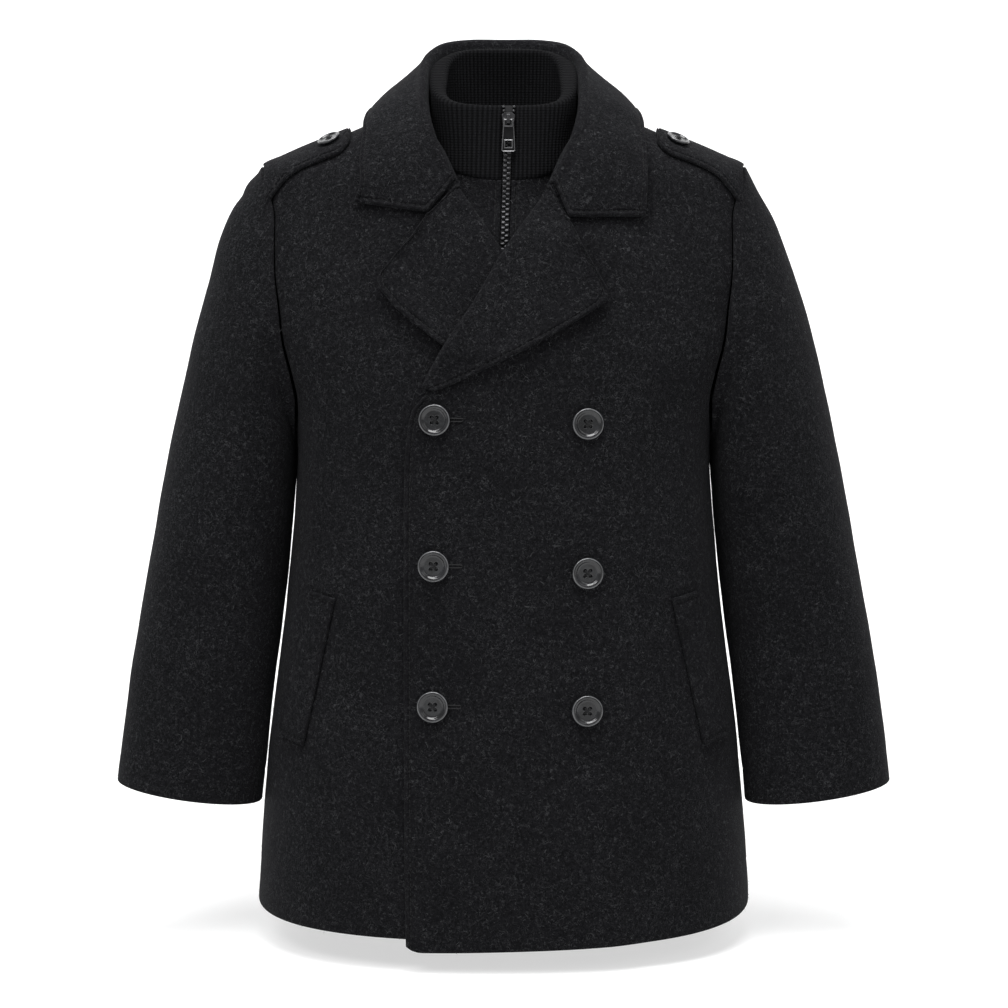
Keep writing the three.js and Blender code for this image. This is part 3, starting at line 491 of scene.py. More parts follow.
def fibreMaterial(name):
    # loose wool fibres, each with its own grey from the shade attribute
    f = Finish(name)
    shade = f.node("ShaderNodeAttribute", {"attribute_name": "shade"}, out="Fac")
    color = f.colors(shade, fibreLook["dark"], fibreLook["pale"])
    return f.finished({"Base Color": color, "Roughness": 0.8 + shade * 0.1, "Specular IOR Level": 0.05})


melton = meltonMaterial("melton", meltonLook)
ribKnit = ribMaterial("ribKnit")
horn = hornMaterial("horn")
gunmetal = metalMaterial("gunmetal", (0.022, 0.022, 0.024), (0.075, 0.075, 0.078))
wornMetal = metalMaterial("wornMetal", (0.05, 0.05, 0.052), (0.14, 0.14, 0.143))
darkMetal = metalMaterial("darkMetal", (0.006, 0.006, 0.0065), (0.02, 0.02, 0.021))
darkThread = threadMaterial("darkThread", (0.003, 0.003, 0.0035), (0.011, 0.011, 0.012), 900)
zipTape = threadMaterial("zipTape", (0.005, 0.005, 0.006), (0.012, 0.012, 0.013), 700)
woolFibre = fibreMaterial("woolFibre")
print("materials made")


# fronts and back

panel = {"rows": 230, "columns": 110, "step": 3.5}
armholeMiddleZ = (cloth["shoulderTipZ"] + cloth["underarmZ"]) / 2
armholeHalf = (cloth["shoulderTipZ"] - cloth["underarmZ"]) / 2
# height and x of the line along which the front turns over
rollLine = np.array([
    [-47.8, 29.6], [-66.2, 16.5], [-88.7, .9], [-114.9, -14.6], [-142.3, -33.1], [-160.8, -44.3],
    [-173.7, -51.8], [-181.2, -56.4], [-203, -59.9], [-240, -61.3], [-412, -61.6], [-530, -60.4]])
frontInnerZ = np.array([-198, -187, -175, -158, -138, -117, -96, -78, -64.0])


def armholeProfile(turned):
    # how far the armhole reaches forward: sin^0.8, a little fuller low down
    return np.maximum(0, np.sin(turned)) ** 0.8 * (1 - 0.12 * np.cos(turned))


def armholeAt(turned):
    # turn and height of the armhole, from the shoulder tip at 0 to the underarm at 180 degrees and up the back
    behind = turned > np.pi + 1e-9
    half = np.where(behind, 2 * np.pi - turned, turned)
    z = armholeMiddleZ + armholeHalf * np.cos(half)
    ring = tableAt(torsoRings, z)
    y = np.minimum(0.98, cloth["armholeDepth"] * armholeProfile(half) / np.where(behind, ring[..., 3],
        ring[..., 2]))
    x = (1 - y ** ring[..., 4]) ** (1 / ring[..., 4])
    return np.arctan2(x, np.where(behind, -y, y)), z


def sideEnds(v, back):
    # outer end of a panel row: up the side seam to 10, then round the armhole to the shoulder tip at 22
    turned = np.clip((22 - v) / 12, 0, 1) * np.pi
    turn, z = armholeAt(2 * np.pi - turned if back else turned)
    low = v <= 10
    return np.where(low, np.pi / 2, turn), np.where(low, mix(cloth["hemZ"], cloth["underarmZ"], v / 10), z)


def frontInnerTurn(z):
    # the front's own edge, a little behind the roll line inside the lapel's curl
    return turnAt(tableAt(rollLine, z)[..., 1] + 2.6 * smooth(-184, -168, z), z)


def overlapLift(x, z):
    # the left front lies a layer proud of the right one, more where the right lapel is under it, and settles
    # to the side
    beyond = (1 - smooth(cloth["frontEdgeX"] + 4, cloth["frontEdgeX"] + 34, x)) * (1 - smooth(-82, -56, z))
    onLapel = smooth(-161, -145, z) * (1 - smooth(24, 52, x))
    return beyond * (layerStep + onLapel * (lapelLift + 0.2))


def hemFall(turn):
    # how far the hem hangs below its side height
    return -(cloth["hemDip"] - 1) * np.maximum(0, np.cos(turn))


def frontPanel(side):
    # rows run from the hem to the shoulder seam, columns from the front edge, roll line and neckline to the
    # side seam
    v = np.linspace(0, 22, panel["rows"])[:, None]
    u = np.linspace(0, 1, panel["columns"])[None, :]
    heights = np.concatenate([mix(cloth["hemZ"], cloth["underarmZ"], np.arange(10) / 10), frontInnerZ,
        [cloth["gorgeZ"]]])
    neckPart = np.clip((v - 19) / 3, 0, 1)
    innerZ = np.where(v > 19, mix(cloth["gorgeZ"], cloth["neckPointZ"], 1 - (1 - neckPart) ** 3.4),
        np.interp(v, np.arange(20), heights))
    innerTurn = np.where(v > 19, mix(frontInnerTurn(cloth["gorgeZ"]), np.pi / 2, neckPart),
        frontInnerTurn(innerZ))
    outerTurn, outerZ = sideEnds(v, False)
    turn = mix(innerTurn, outerTurn, u)
    low = 1 - smooth(cloth["hemZ"], cloth["hemZ"] + cloth["hemSweep"], outerZ)
    z = mix(innerZ, outerZ, u) + low * (hemFall(turn) - (cloth["leftHemDrop"] * (1 - u) if side > 0 else 0))
    x = torsoPoint(turn, z)[..., 0]
    corner = np.clip(1 - (x + cloth["frontEdgeX"]) / 9, 0, 1) ** 2 * np.clip(1 - v / 0.35, 0, 1)
    z = z + 4.0 * corner
    points = onTorso(turn, z, overlapLift(x, z) if side > 0 else np.zeros(x.shape))
    return points if side > 0 else mirrored(points)


def backPanel():
    # a patch between the hem, both sides and armholes, and the shoulder seams with the back neck
    v = np.linspace(0, 22, panel["rows"])[:, None]
    s = np.linspace(1, -1, 2 * panel["columns"])[None, :]
    reach, neckShare = np.abs(s), 0.4
    sideTurn, sideZ = sideEnds(v, True)
    part = np.clip(1 - reach / neckShare, 0, 1)
    ridgeTurn = mix(np.pi / 2, np.pi, part)
    ridgeZ = np.where(reach > neckShare, mix(cloth["neckPointZ"], cloth["shoulderTipZ"], (reach - neckShare)
        / (1 - neckShare)),
        mix(cloth["neckPointZ"], cloth["backNeckZ"], np.minimum(1, part * 2.5)))
    t = (sideZ - cloth["hemZ"]) / (cloth["shoulderTipZ"] - cloth["hemZ"])
    rise = smooth(0.6, 1, t)
    turn = mix(mix(np.pi, np.pi / 2, reach), ridgeTurn, rise) + (sideTurn - np.pi / 2) * reach ** 2
    low = 1 - smooth(cloth["hemZ"], cloth["hemZ"] + cloth["hemSweep"], sideZ)
    z = sideZ + (ridgeZ - cloth["shoulderTipZ"]) * rise ** 2 + low * hemFall(np.pi - turn) * 0.5
    points = onTorso(turn, z, np.zeros(z.shape))
    return np.where((s < 0)[..., None], mirrored(points), points)


frontFolds = [
    ((128, -62, -200), (120, -70, -300), 9, 1.1),
    ((112, -76, -150), (104, -86, -235), 12, -0.9),
    ((140, -40, -420), (132, -62, -250), 14, 0.8),
    ((92, -98, -470), (84, -96, -330), 20, -0.6),
]
backFolds = [
    ((118, 60, -190), (96, 78, -300), 11, 1.2),
    ((-114, 62, -185), (-100, 76, -290), 12, 1.0),
    ((60, 92, -110), (20, 96, -160), 16, -0.9),
    ((-62, 92, -112), (-24, 96, -158), 15, -0.8),
    ((84, 98, -480), (74, 92, -330), 20, -0.8),
    ((-80, 98, -480), (-70, 92, -340), 22, 0.9),
]


def turnedFolds(folds, shift=0):
    # the same folds on the other side, a little lower and weaker
    return [((-a[0], a[1], a[2] - shift), (-b[0], b[1], b[2] - shift), w, h * 0.85) for a, b, w, h in folds]


makeCloth("frontLeft", frontPanel(1), cloth["woolWall"], panel["step"], melton, "L", hems=[(2, 25, 0.3)],
    folds=frontFolds, node="front_left")
makeCloth("frontRight", frontPanel(-1), cloth["woolWall"], panel["step"], melton, "L", hems=[(2, 25, 0.3)],
    folds=turnedFolds(frontFolds, 6), node="front_right")
makeCloth("backPanel", backPanel(), cloth["woolWall"], panel["step"], melton, "", hems=[(2, 25, 0.3)],
    folds=backFolds, node="back")
print("fronts and back made")


# sleeves: outer point, height of the inner point, half depth, forward shift of each section

sleeve = {"rows": 190, "around": 150, "step": 3.5, "headGap": 0.4, "lap": 1.5, "hem": 20}
sleeveSections = np.array([
    [162, -51, -209.5, 52.5, -1], [173, -70, -216, 55, -1], [183, -96, -225, 57, -1], [192, -123, -236, 57, -1],
    [200, -151, -249, 56, -2], [208, -185, -266, 54, -3], [215.5, -220, -286, 51, -4],
    [222, -255, -309, 48, -7], [228.5, -290, -334, 45, -10], [234.5, -325, -360, 42, -14],
    [240.5, -360, -387, 39, -18], [245.5, -396, -415, 36.5, -22], [249.5, -430, -443, 34.5, -26]])


def sleeveTube(side):
    # ellipses between an outer and an inner point, led in from the armhole and joined by a smooth curve along
    # the arm
    turned = np.arange(sleeve["around"]) / sleeve["around"] * 2 * np.pi
    turn, z = armholeAt(turned)
    seam = onTorso(turn, z, np.full(z.shape, layerStep + sleeve["headGap"]))
    flatNormal = unit(onTorso(turn, z, np.ones(z.shape)) - onTorso(turn, z, np.zeros(z.shape)))
    outward = seam - np.stack([seam[:, 0], 0 * z, 0 * z + armholeMiddleZ], -1)
    outward = unit(outward - (outward * flatNormal).sum(-1, keepdims=True) * flatNormal)
    head = seam + outward * sleeve["lap"]
    outX, outZ, inZ, depth, ahead = [c[:, None] for c in sleeveSections.T]
    inX = tableAt(torsoRings, inZ)[..., 1] + cloth["woolWall"] + 0.8
    along = np.cos(turned)[None, :]
    shape = np.sign(np.sin(turned)) * armholeProfile(np.abs(np.arcsin(np.sin(turned))))
    across = mix(np.sin(turned)[None, :], shape * (1 - 0.12 * along), smooth(-280, -120, outZ))
    rings = np.stack([(outX + inX) / 2 + (outX - inX) / 2 * along, ahead - depth * across, (outZ + inZ) / 2
        + (outZ - inZ) / 2 * along], -1)
    rings = np.concatenate([head[None], rings])
    tube = splineThrough(rings.transpose(1, 0, 2), np.linspace(0, len(rings) - 1, sleeve["rows"]),
        0.5).transpose(1, 0, 2)
    return tube if side > 0 else mirrored(tube)


sleeveFolds = [
    ((150, -44, -215), (182, -52, -250), 10, 1.0),
    ((160, -40, -255), (196, -52, -290), 11, 0.9),
    ((176, -40, -318), (214, -50, -300), 13, -0.9),
    ((172, 38, -250), (206, 40, -275), 12, 1.2),
    ((180, 32, -300), (222, 26, -290), 13, -1.0),
    ((192, -38, -420), (200, -48, -340), 13, 0.7),
    ((215, 8, -420), (222, 22, -330), 14, 0.8),
]
makeCloth("sleeveLeft", sleeveTube(1), cloth["woolWall"], sleeve["step"], melton, "",
    hems=[(3, sleeve["hem"], 0.32)], folds=sleeveFolds, closed=True, node="sleeve_left")
makeCloth("sleeveRight", sleeveTube(-1), cloth["woolWall"], sleeve["step"], melton, "",
    hems=[(3, sleeve["hem"], 0.32)], folds=turnedFolds(sleeveFolds, -5)
    + [((-163, 0, -44), (-188, 0, -112), 24, 2.4), ((-158, 0, -38), (-166, 0, -56), 14, 2.2)], closed=True,
    node="sleeve_right")
print("sleeves made")


# lapels: height of each point of the roll edge, and the point of the outer edge across from it

lapel = {"rows": 150, "columns": 70, "step": 1.6, "edgeLift": 3.2}
lapelLeftRows = np.array([
    [-45.4, 39.4, -65.2], [-55, 47.5, -81.5], [-66.2, 56.5, -96.5], [-77, 63.8, -109.5], [-88.7, 62.8, -116],
    [-101.5, 48, -125.8], [-114.9, 31, -136], [-128.5, 12, -146], [-142.3, -8.4, -155.1], [-159, -30.5, -165.2],
    [-167.6, -42.5, -169.6]])
lapelRightRows = np.array([
    [-44.4, -46.7, -62.2], [-51.5, -55.5, -75], [-58.8, -66, -87], [-67, -77, -100.5], [-75.3, -76.8, -107],
    [-88.7, -66, -120], [-104, -51.5, -131.5], [-120, -35, -144]])


def lapelFace(rows, side):
    # straight lines from the roll edge to the outer edge, led in by a curl round the front's own edge
    at = np.linspace(0, len(rows) - 1, lapel["rows"])
    rollZ, edgeX, edgeZ = [np.interp(at, np.arange(len(rows)), c)[:, None] for c in rows.T]
    rollX = side * tableAt(rollLine, rollZ)[..., 1]
    width = np.hypot(edgeX - rollX, edgeZ - rollZ)
    narrow = np.minimum(1, width / 15)
    curl = splineThrough([[[-2.2, 0.3], [-1.7, 1.9], [-0.4, 3.0], [1.5, lapelLift], [6, lapelLift]]],
        np.linspace(0, 3, 16))[0]
    face = np.linspace(0, 1, lapel["columns"])[None, 1:]
    across = np.concatenate([curl[None, :, 0] * narrow, mix(1.5 * narrow, width, face)], axis=1)
    lift = np.concatenate([np.broadcast_to(curl[None, :, 1], (len(at), 16)), np.full((len(at), face.shape[1]),
        lapelLift)], axis=1)
    x, z = mix(rollX, edgeX, across / width), mix(rollZ, edgeZ, across / width)
    under = overlapLift(x, z) if side > 0 else 0 * x
    free = lapel["edgeLift"] * smooth(0.45, 1, across / width) ** 2 * smooth(12, 40, width)
    return onTorso(turnAt(x, z), z, under + lift + free)


makeCloth("lapelLeft", lapelFace(lapelLeftRows, 1), cloth["woolWall"], lapel["step"], melton, "RB", calm=0.5,
    node="lapel_left")
makeCloth("lapelRight", lapelFace(lapelRightRows, -1), cloth["woolWall"], lapel["step"], melton, "RB",
    calm=0.5, node="lapel_right")
print("lapels made")


# collar: foot of the stand, roll, middle of the fall and outer edge, from the middle of the back to the front

collar = {"rows": 260, "columns": 81, "step": 2.4, "fold": 2.4, "edgeLift": 2.0, "lift": cloth["woolWall"] / 2
    + cloth["layerGap"] + cloth["collarWall"] / 2 + 0.3}
collarRows = np.array([
    [[0, 46.8, 4], [0, 53, 44.5], [0, 63, 16], [0, 70, -16]],
    [[13, 45.8, 4], [21, 51.5, 44.3], [23.5, 61.5, 17], [26, 69, -16]],
    [[26, 41.8, 3.5], [38, 44.5, 42], [44.5, 54, 18.5], [50, 63, -15]],
    [[38, 32.5, 3], [47.5, 31.5, 36.5], [62, 41, 17.5], [72, 49, -9]],
    [[48, 20, .5], [51, 14, 29.5], [71.5, 22, 13.5], [82.5, 26, -2]],
    [[51.5, 4, -1], [51.5, -3, 22], [75, 1, 9], [85.5, 1, -3]],
    [[51.5, -12, -3.5], [51.5, -20, 13], [74.5, -18.5, 3.5], [87.5, -20, -7.8]],
    [[49.5, -26, -8], [50, -35, 3], [71.5, -35, -6], [88, -38, -17.5]],
    [[44.5, -38, -15], [46.5, -47.5, -8.5], [68, -50.5, -17], [89, -51, -31]],
    [[37.5, -46, -24.5], [41, -55.5, -22], [61, -60.5, -32], [89, -60, -45]]], float)
collarEnds = {"left": [[30.3, -43.2], [40.0, -64.3], [86.5, -66]], "right": [[-30.3, -41.8], [-47.2, -61.2],
    [-92, -57]]}


def collarEnd(ends):
    # the front end of the collar lies on the fronts: gorge, notch and corner
    roll, mid, edge = np.array(ends, float)
    spots = np.array([[roll[0] * 0.96, roll[1]], roll, mid, edge])
    lift = np.array([-collar["lift"], collar["lift"], collar["lift"] + 0.7, collar["lift"] + 0.8])
    under = np.where((spots[:, 0] > 0) & (lift > 0), overlapLift(spots[:, 0], spots[:, 1]), 0)
    return onTorso(turnAt(spots[:, 0], spots[:, 1]), spots[:, 1], under + lift)


def collarSheet():
    # each section is a curve from the foot over the roll to the edge; the sections are joined by a second curve
    sections = np.concatenate([collarEnd(collarEnds["left"])[None], collarRows[::-1], mirrored(collarRows[1:]),
        collarEnd(collarEnds["right"])[None]])
    foot, roll, mid, edge = sections.transpose(1, 0, 2)
    out = unit((edge - foot) * np.array([1, 1, 0.0]))
    standTop = roll - out * collar["fold"]
    fallTop = roll + out * (collar["fold"] + 0.6)
    standTop[:, 2], fallTop[:, 2] = roll[:, 2] - 5, roll[:, 2] - 4
    control = np.stack([foot, standTop, roll, fallTop, mid, edge], axis=1)
    at = np.linspace(0, 5, collar["columns"])
    fine = splineThrough(control, at)
    corner = np.stack([[np.interp(at, [3, 4, 5], end[3:, k]) for k in range(3)]
        for end in control[[0, -1]]]).transpose(0, 2, 1)
    # straight gorge and front edge, with a sharp notch
    fine[[0, -1]] = np.where((at > 3)[None, :, None], corner, fine[[0, -1]])
    out = unit((edge - foot) * np.array([1, 1, 0.0]))[:, None]
    fine = fine + (out * 0.5 + np.array([0, 0, 0.6])) * collar["edgeLift"] * smooth(3.6, 5,
        at)[None, :, None] ** 2
    return splineThrough(fine.transpose(1, 0, 2), np.linspace(0, len(sections) - 1,
        collar["rows"])).transpose(1, 0, 2)


makeCloth("collar", collarSheet(), cloth["collarWall"], collar["step"], melton, "RBT", calm=0.6, node="collar")
print("collar made")


# shoulder straps and pocket welts

strap = {"tipY": -19.0, "seamY": -11.0, "tipX": 96.0, "over": 3.0, "rise": 0.9, "lift": layerStep + 0.4,
    "seamX": 148.6, "step": 1.3}
strapRows = np.array([[96, 9.5], [97.3, 13], [100, 16], [104.5, 17.8], [113, 18.2], [124, 18.8], [136, 19.4],
    [148.6, 20]])


def onShoulder(x, y, lift):
    # the height at which the body's ring passes through x, y, found by halving, then the lifted point there
    x, y = np.broadcast_arrays(x, y)
    low, high = np.full(x.shape, -75.0), np.full(x.shape, 12.0)
    for step in range(30):
        z = (low + high) / 2
        ring = tableAt(torsoRings, z)
        depth = np.where(y > 0, ring[..., 3], ring[..., 2])
        wide = ring[..., 1] * (1 - np.minimum(1, np.abs(y) / depth) ** ring[..., 4]) ** (1 / ring[..., 4]) > x
        low, high = np.where(wide, z, low), np.where(wide, high, z)
    z = (low + high) / 2
    ring = tableAt(torsoRings, z)
    turn = np.arctan2(x / ring[..., 1], -y / np.where(y > 0, ring[..., 3], ring[..., 2]))
    return onTorso(turn, z, np.broadcast_to(lift, x.shape)), turn, z


def strapFace(side):
    # rows from the rounded tip near the collar out to the sleeve seam, columns across
    t = np.linspace(0, 7, 90)
    x, half = splineThrough(strapRows[None], t)[0].T
    middle = mix(strap["tipY"], strap["seamY"], (x - strap["tipX"]) / (strap["seamX"] - strap["tipX"]))
    y = middle[:, None] + half[:, None] * np.linspace(-1, 1, 50)[None, :]
    out = np.clip((x[:, None] - 136) / (strap["seamX"] - 136), 0, 1)
    end = x[:, None] + (strap["over"] - 0.13 * np.abs(y)) * out
    points = onShoulder(end, y, strap["lift"] + strap["rise"] * smooth(0.35, 1, out))[0]
    return points if side > 0 else mirrored(points)


welt = {"top": (119.7, 104.2, -299.0), "foot": (139.6, 125.0, -394.6), "slope": 2.5, "step": 1.6}


def weltFace(side):
    # a slanted strip on the front between two lines
    t, s = np.linspace(0, 1, 80)[:, None], np.linspace(0, 1, 24)[None, :]
    outX, inX, z = [mix(a, b, t) for a, b in zip(welt["top"], welt["foot"])]
    x, z = mix(inX, outX, s), z - welt["slope"] * (1 - s)
    points = onTorso(turnAt(x, z), z, np.full(x.shape, layerStep))
    return points if side > 0 else mirrored(points)


for sideName, side in (("Left", 1), ("Right", -1)):
    lower = sideName.lower()
    makeCloth("epaulette" + sideName, strapFace(side), cloth["woolWall"], strap["step"], melton, "LRB",
        calm=0.4, node="epaulette_" + lower)
    makeCloth("welt" + sideName, weltFace(side), cloth["woolWall"], welt["step"], melton, "BT", calm=0.3,
        node="pocket_welt_" + lower)
print("straps and welts made")


# knitted collar, insert and zip

knit = {"wall": 5.4, "ribs": 98, "ribHeight": 0.95, "columns": 760}
# width, depth, middle y, middle z, tilt, squareness, thickening of the rim
ribRings = np.array([[43.6, 45.5, -6.5, -21.6, 20.8, 2.1, 0], [42.4, 43, -3.3, 1.5, 18.9, 2.5, 0.3],
    [41.4, 41, -.5, 22.6, 17.4, 3.4, 2.6]])
insert = {"topHalf": 36.0, "footHalf": 54.0, "footZ": -165.0, "drop": -1.5, "topForward": 1.4, "depth": 5.9,
    "zipHalf": 3.0}


def zipX(z):
    # the zip leans towards the wearer's left at the top
    return mix(0.3, 3.4, np.clip((z + 88) / 95, 0, 1))


def ribRingPoint(width, depth, middleY, middleZ, tilt, square, turn):
    # a superellipse |s|^n + |c|^n = 1 round the neck, tilted down in front
    s, c = np.sin(turn), np.cos(turn)
    reach = (np.abs(s) ** square + np.abs(c) ** square) ** (-1 / square)
    z = middleZ - tilt * reach * c
    lean = zipX(z) * np.maximum(0, c) ** 4
    return np.stack([width * reach * s + lean, middleY - depth * reach * c, z], -1)


def ribSheet():
    # rows from the rim down to the seam, columns round the neck from one side of the zip to the other
    rings = splineThrough(ribRings[None], np.linspace(2, 0, 46))[0]
    width, depth, middleY, middleZ, tilt, square, thicker = rings.T[..., None]
    start = np.arcsin(insert["zipHalf"] / width)
    turn = mix(start, 2 * np.pi - start, np.linspace(0, 1, knit["columns"])[None, :])
    phase = np.broadcast_to(np.linspace(0, 1, knit["columns"])[None, :, None], turn.shape + (1,))
    # the folded rim is thicker at the sides and behind than in front
    rim = (thicker * smooth(-0.95, 0.2, -np.cos(turn)))[..., None]
    return np.concatenate([ribRingPoint(width, depth, middleY, middleZ, tilt, square, turn), phase, rim],
        axis=2)


def ribRelief(grid):
    # rounded ribs: height * |cos|^0.7 of the place round the neck
    return knit["ribHeight"] * np.abs(np.cos(np.pi * knit["ribs"] * grid[..., 3])) ** 0.7 - 0.1 + grid[..., 4]


def paintedRibShade(grid):
    # painted shade: 1 on top of a rib, 0 between two ribs, where the knit's colour is darkened
    return np.abs(np.cos(np.pi * knit["ribs"] * grid[..., 3]))


makeCloth("ribCollar", ribSheet(), knit["wall"], 0.45, ribKnit, "", relief=ribRelief, shade=paintedRibShade, calm=0.8,
    node="rib_collar", rowStep=1.9, bothSides=True)


def insertFace(side):
    # rows from the seam with the knit down, columns from the zip to the side edge, which rises to the front
    # over it
    t, s = np.linspace(0, 1, 80)[:, None], np.linspace(0, 1, 44)[None, :]
    reach = mix(insert["zipHalf"], mix(insert["topHalf"], insert["footHalf"], t), s)
    width, depth, middleY, middleZ, tilt = ribRings[0, :5]
    turn = np.arcsin(mix(insert["zipHalf"], insert["topHalf"], s) / width)
    seam = np.stack([0 * turn, middleY - depth * np.cos(turn), middleZ - tilt * np.cos(turn)], -1)
    z = mix(seam[..., 2] - insert["drop"], insert["footZ"], t)
    sewn = (overlapLift(reach, z) if side > 0 else 0) - layerStep - 0.1
    lift = -insert["depth"] + (sewn + insert["depth"]) * smooth(0.25, 0.5, t) * np.clip((s - 0.75) * 4, 0, 1)
    low = onTorso(turnAt(reach, z), z, lift)
    y = mix(seam[..., 1], low[..., 1], smooth(0, 0.3, t)) - insert["topForward"] * (1 - smooth(0, 0.25, t))
    return np.stack([side * reach + zipX(z) * (1 - s), y, z], -1)


insertFolds = [((30, -58, -50), (12, -64, -90), 6, 0.8), ((16, -56, -50), (8, -62, -76), 4, -0.6)]
makeCloth("insertLeft", insertFace(1), cloth["woolWall"], 1.6, melton, "L", calm=0.7, folds=insertFolds,
    node="bib_left")
makeCloth("insertRight", insertFace(-1), cloth["woolWall"], 1.6, melton, "L", calm=0.7,
    folds=turnedFolds(insertFolds), node="bib_right")

zipper = {"onRib": 2.4, "onInsert": 0.8, "pitch": 3.2, "tooth": (1.45, 0.95, 0.8), "toothOut": 1.12,
    "top": -6.5, "openTeeth": 3, "openTop": 4.4, "openPitch": 2.6,
    "openOut": 3.3, "openNarrowing": 0.25, "wideFrom": 2}
ringFront = np.stack([ribRings[:, 2] - ribRings[:, 1], ribRings[:, 3] - ribRings[:, 4]], -1)


def zipPath():
    # y and z down the front of the knit's rings and then down the insert
    t = np.linspace(0, 1, 30)
    z = mix(ringFront[0, 1] - insert["drop"], insert["footZ"], t)
    fallen = smooth(0, 0.3, t)
    y = mix(ringFront[0, 0], onTorso(0 * z, z, np.full(z.shape, -insert["depth"]))[:, 1],
        fallen) - mix(zipper["onRib"], zipper["onInsert"], fallen)
    top = ringFront[::-1] - np.array([zipper["onRib"], 0])
    return np.concatenate([top[:, 0], y]), np.concatenate([top[:, 1], z])


pathY, pathZ = zipPath()
zipY = lambda z: np.interp(-z, -pathZ, pathY)


def zipSpot(x, back, z):
    # a point of the zip's own frame: across, set back from its middle, at a height
    slope = (zipY(z + 1) - zipY(z - 1)) / 2
    long = np.sqrt(1 + slope ** 2)
    return np.stack([zipX(z) + x, zipY(z) + back / long, z - back * slope / long], -1)


def zipStrip():
    # the tape, between the edges of the knit and of the insert
    z, x = np.linspace(pathZ[0], pathZ[-1], 90)[:, None], np.linspace(-2.6, 2.6, 12)[None, :]
    x, z = np.broadcast_arrays(x, z)
    return zipSpot(x, np.full(x.shape, 0.5), z)


makeCloth("zipTapeStrip", zipStrip(), 0.8, 1.0, zipTape, "", calm=0, node="zip_chain", rowStep=3)


def zipTeeth():
    # rounded blocks, |x/a|^4 + |y/b|^4 + |z/c|^4 = 1, one side half a pitch above the other
    count = int((zipper["top"] - insert["footZ"]) / zipper["pitch"])
    up, around = np.meshgrid(np.linspace(-1, 1, 6) * np.pi / 2 * 0.98, np.arange(10) / 10 * 2 * np.pi,
        indexing="ij")
    power = lambda v: np.sign(v) * np.abs(v) ** 0.5
    shape = np.stack([power(np.cos(up)) * power(np.cos(around)), power(np.cos(up)) * power(np.sin(around)),
        power(np.sin(up))], -1) * np.array(zipper["tooth"])
    places = [(side, zipper["top"] - (k + 0.5 * (side > 0)) * zipper["pitch"], zipper["toothOut"])
              for side in (-1, 1) for k in range(count)]
    # above the slider the two sides part
    places += [(side, zipper["openTop"] - k * zipper["openPitch"],
                zipper["openOut"] - k * zipper["openNarrowing"])
               for side in (-1, 1) for k in range(zipper["openTeeth"])]
    side, z, out = np.array(places).T[:, :, None, None]
    across, back, up = np.moveaxis(shape, -1, 0)[:, None]
    points = zipSpot(side * out + across * np.where(out > zipper["wideFrom"], 0.62, 1), -0.35 + back, z + up)
    index = np.arange(len(places) * shape[..., 0].size).reshape(len(places), *shape.shape[:2])
    faces = np.concatenate([gridFaces(block, True) for block in index])
    return makeMesh("zipTeeth", points.reshape(-1, 3), faces[:, ::-1], gunmetal)


zipTeeth()


def softenedCopy(node, name, width, material, body, sunk=None):
    # a copy of a plain solid with its corners merged and its edges rounded; sunk: a darker field inside its
    # front edge
    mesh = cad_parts[node].data.copy()
    mesh.materials.clear()
    mesh.materials.append(material)
    piece = bpy.data.objects.new(name, mesh)
    bpy.context.scene.collection.objects.link(piece)
    shape = bmesh.new()
    shape.from_mesh(mesh)
    bmesh.ops.remove_doubles(shape, verts=shape.verts, dist=0.00001)
    bmesh.ops.dissolve_limit(shape, angle_limit=4 * degree, verts=shape.verts, edges=shape.edges)
    bmesh.ops.recalc_face_normals(shape, faces=shape.faces)
    if sunk:
        front = max(shape.faces, key=lambda face: -face.normal.y * face.calc_area()).normal.copy()
        field = [face for face in shape.faces if face.normal.dot(front) > 0.99]
        bmesh.ops.inset_region(shape, faces=field, thickness=sunk[0] * mm, depth=-sunk[1] * mm,
            use_even_offset=True)
        mesh.materials.append(sunk[2])
        for face in field:
            face.material_index = 1
    shape.to_mesh(mesh)
    shape.free()
    mesh.polygons.foreach_set("use_smooth", np.zeros(len(mesh.polygons), bool))
    bevel = piece.modifiers.new("rounded", "BEVEL")
    bevel.width, bevel.segments, bevel.limit_method, bevel.angle_limit = width * mm, 3, "ANGLE", 30 * degree
    bevel.harden_normals = True
    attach(piece, body)
    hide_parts(node)
    return piece


softenedCopy("zip_slider", "zipSlider", 0.28, gunmetal, "coat")
softenedCopy("zip_pull", "zipPull", 0.12, wornMetal, "pull", sunk=(0.6, 0.3, darkMetal))
print("knit, insert and zip made")


# buttons and buttonholes

button = {
    "radius": 10.0, "shoulderRadius": 7.5, "seat": cloth["woolWall"] / 2 + 0.4,
    "places": [(51.4, -189.5), (51.4, -282.2), (51.4, -368.3), (-42.2, -187), (-42.9, -277.7), (-43.6, -365.6)],
    "holeAt": 0.17, "holeRadius": 0.095, "holeDepth": 0.17, "grid": 72,
    # the pale rim is a painted highlight, mixed into the horn's colour
    "worn": (0.855, 0.885, 0.905, 0.935),       # where the pale rim begins and ends, in shares of the radius
    "shoulderX": 108.5, "shoulderAhead": 1.1,
}
buttonProfile = np.array([
    # along, out, height, in shares of the radius
    [0, 0, .20], [.60, .60, .205], [.66, .665, .225], [.72, .73, .285], [.77, .78, .325], [.83, .855, .335],
    [.89, .925, .32], [.935, .975, .27], [.97, 1, .19], [1, .9, 0]])


def turnedTo(points, normal):
    # the shortest turn that takes -Y to the normal: p + v x p + v x (v x p) / (1 + c)
    v = np.cross([0, -1.0, 0], normal)
    once = np.cross(v, points)
    return points + once + np.cross(v, once) / (1 + normal @ np.array([0, -1.0, 0]))


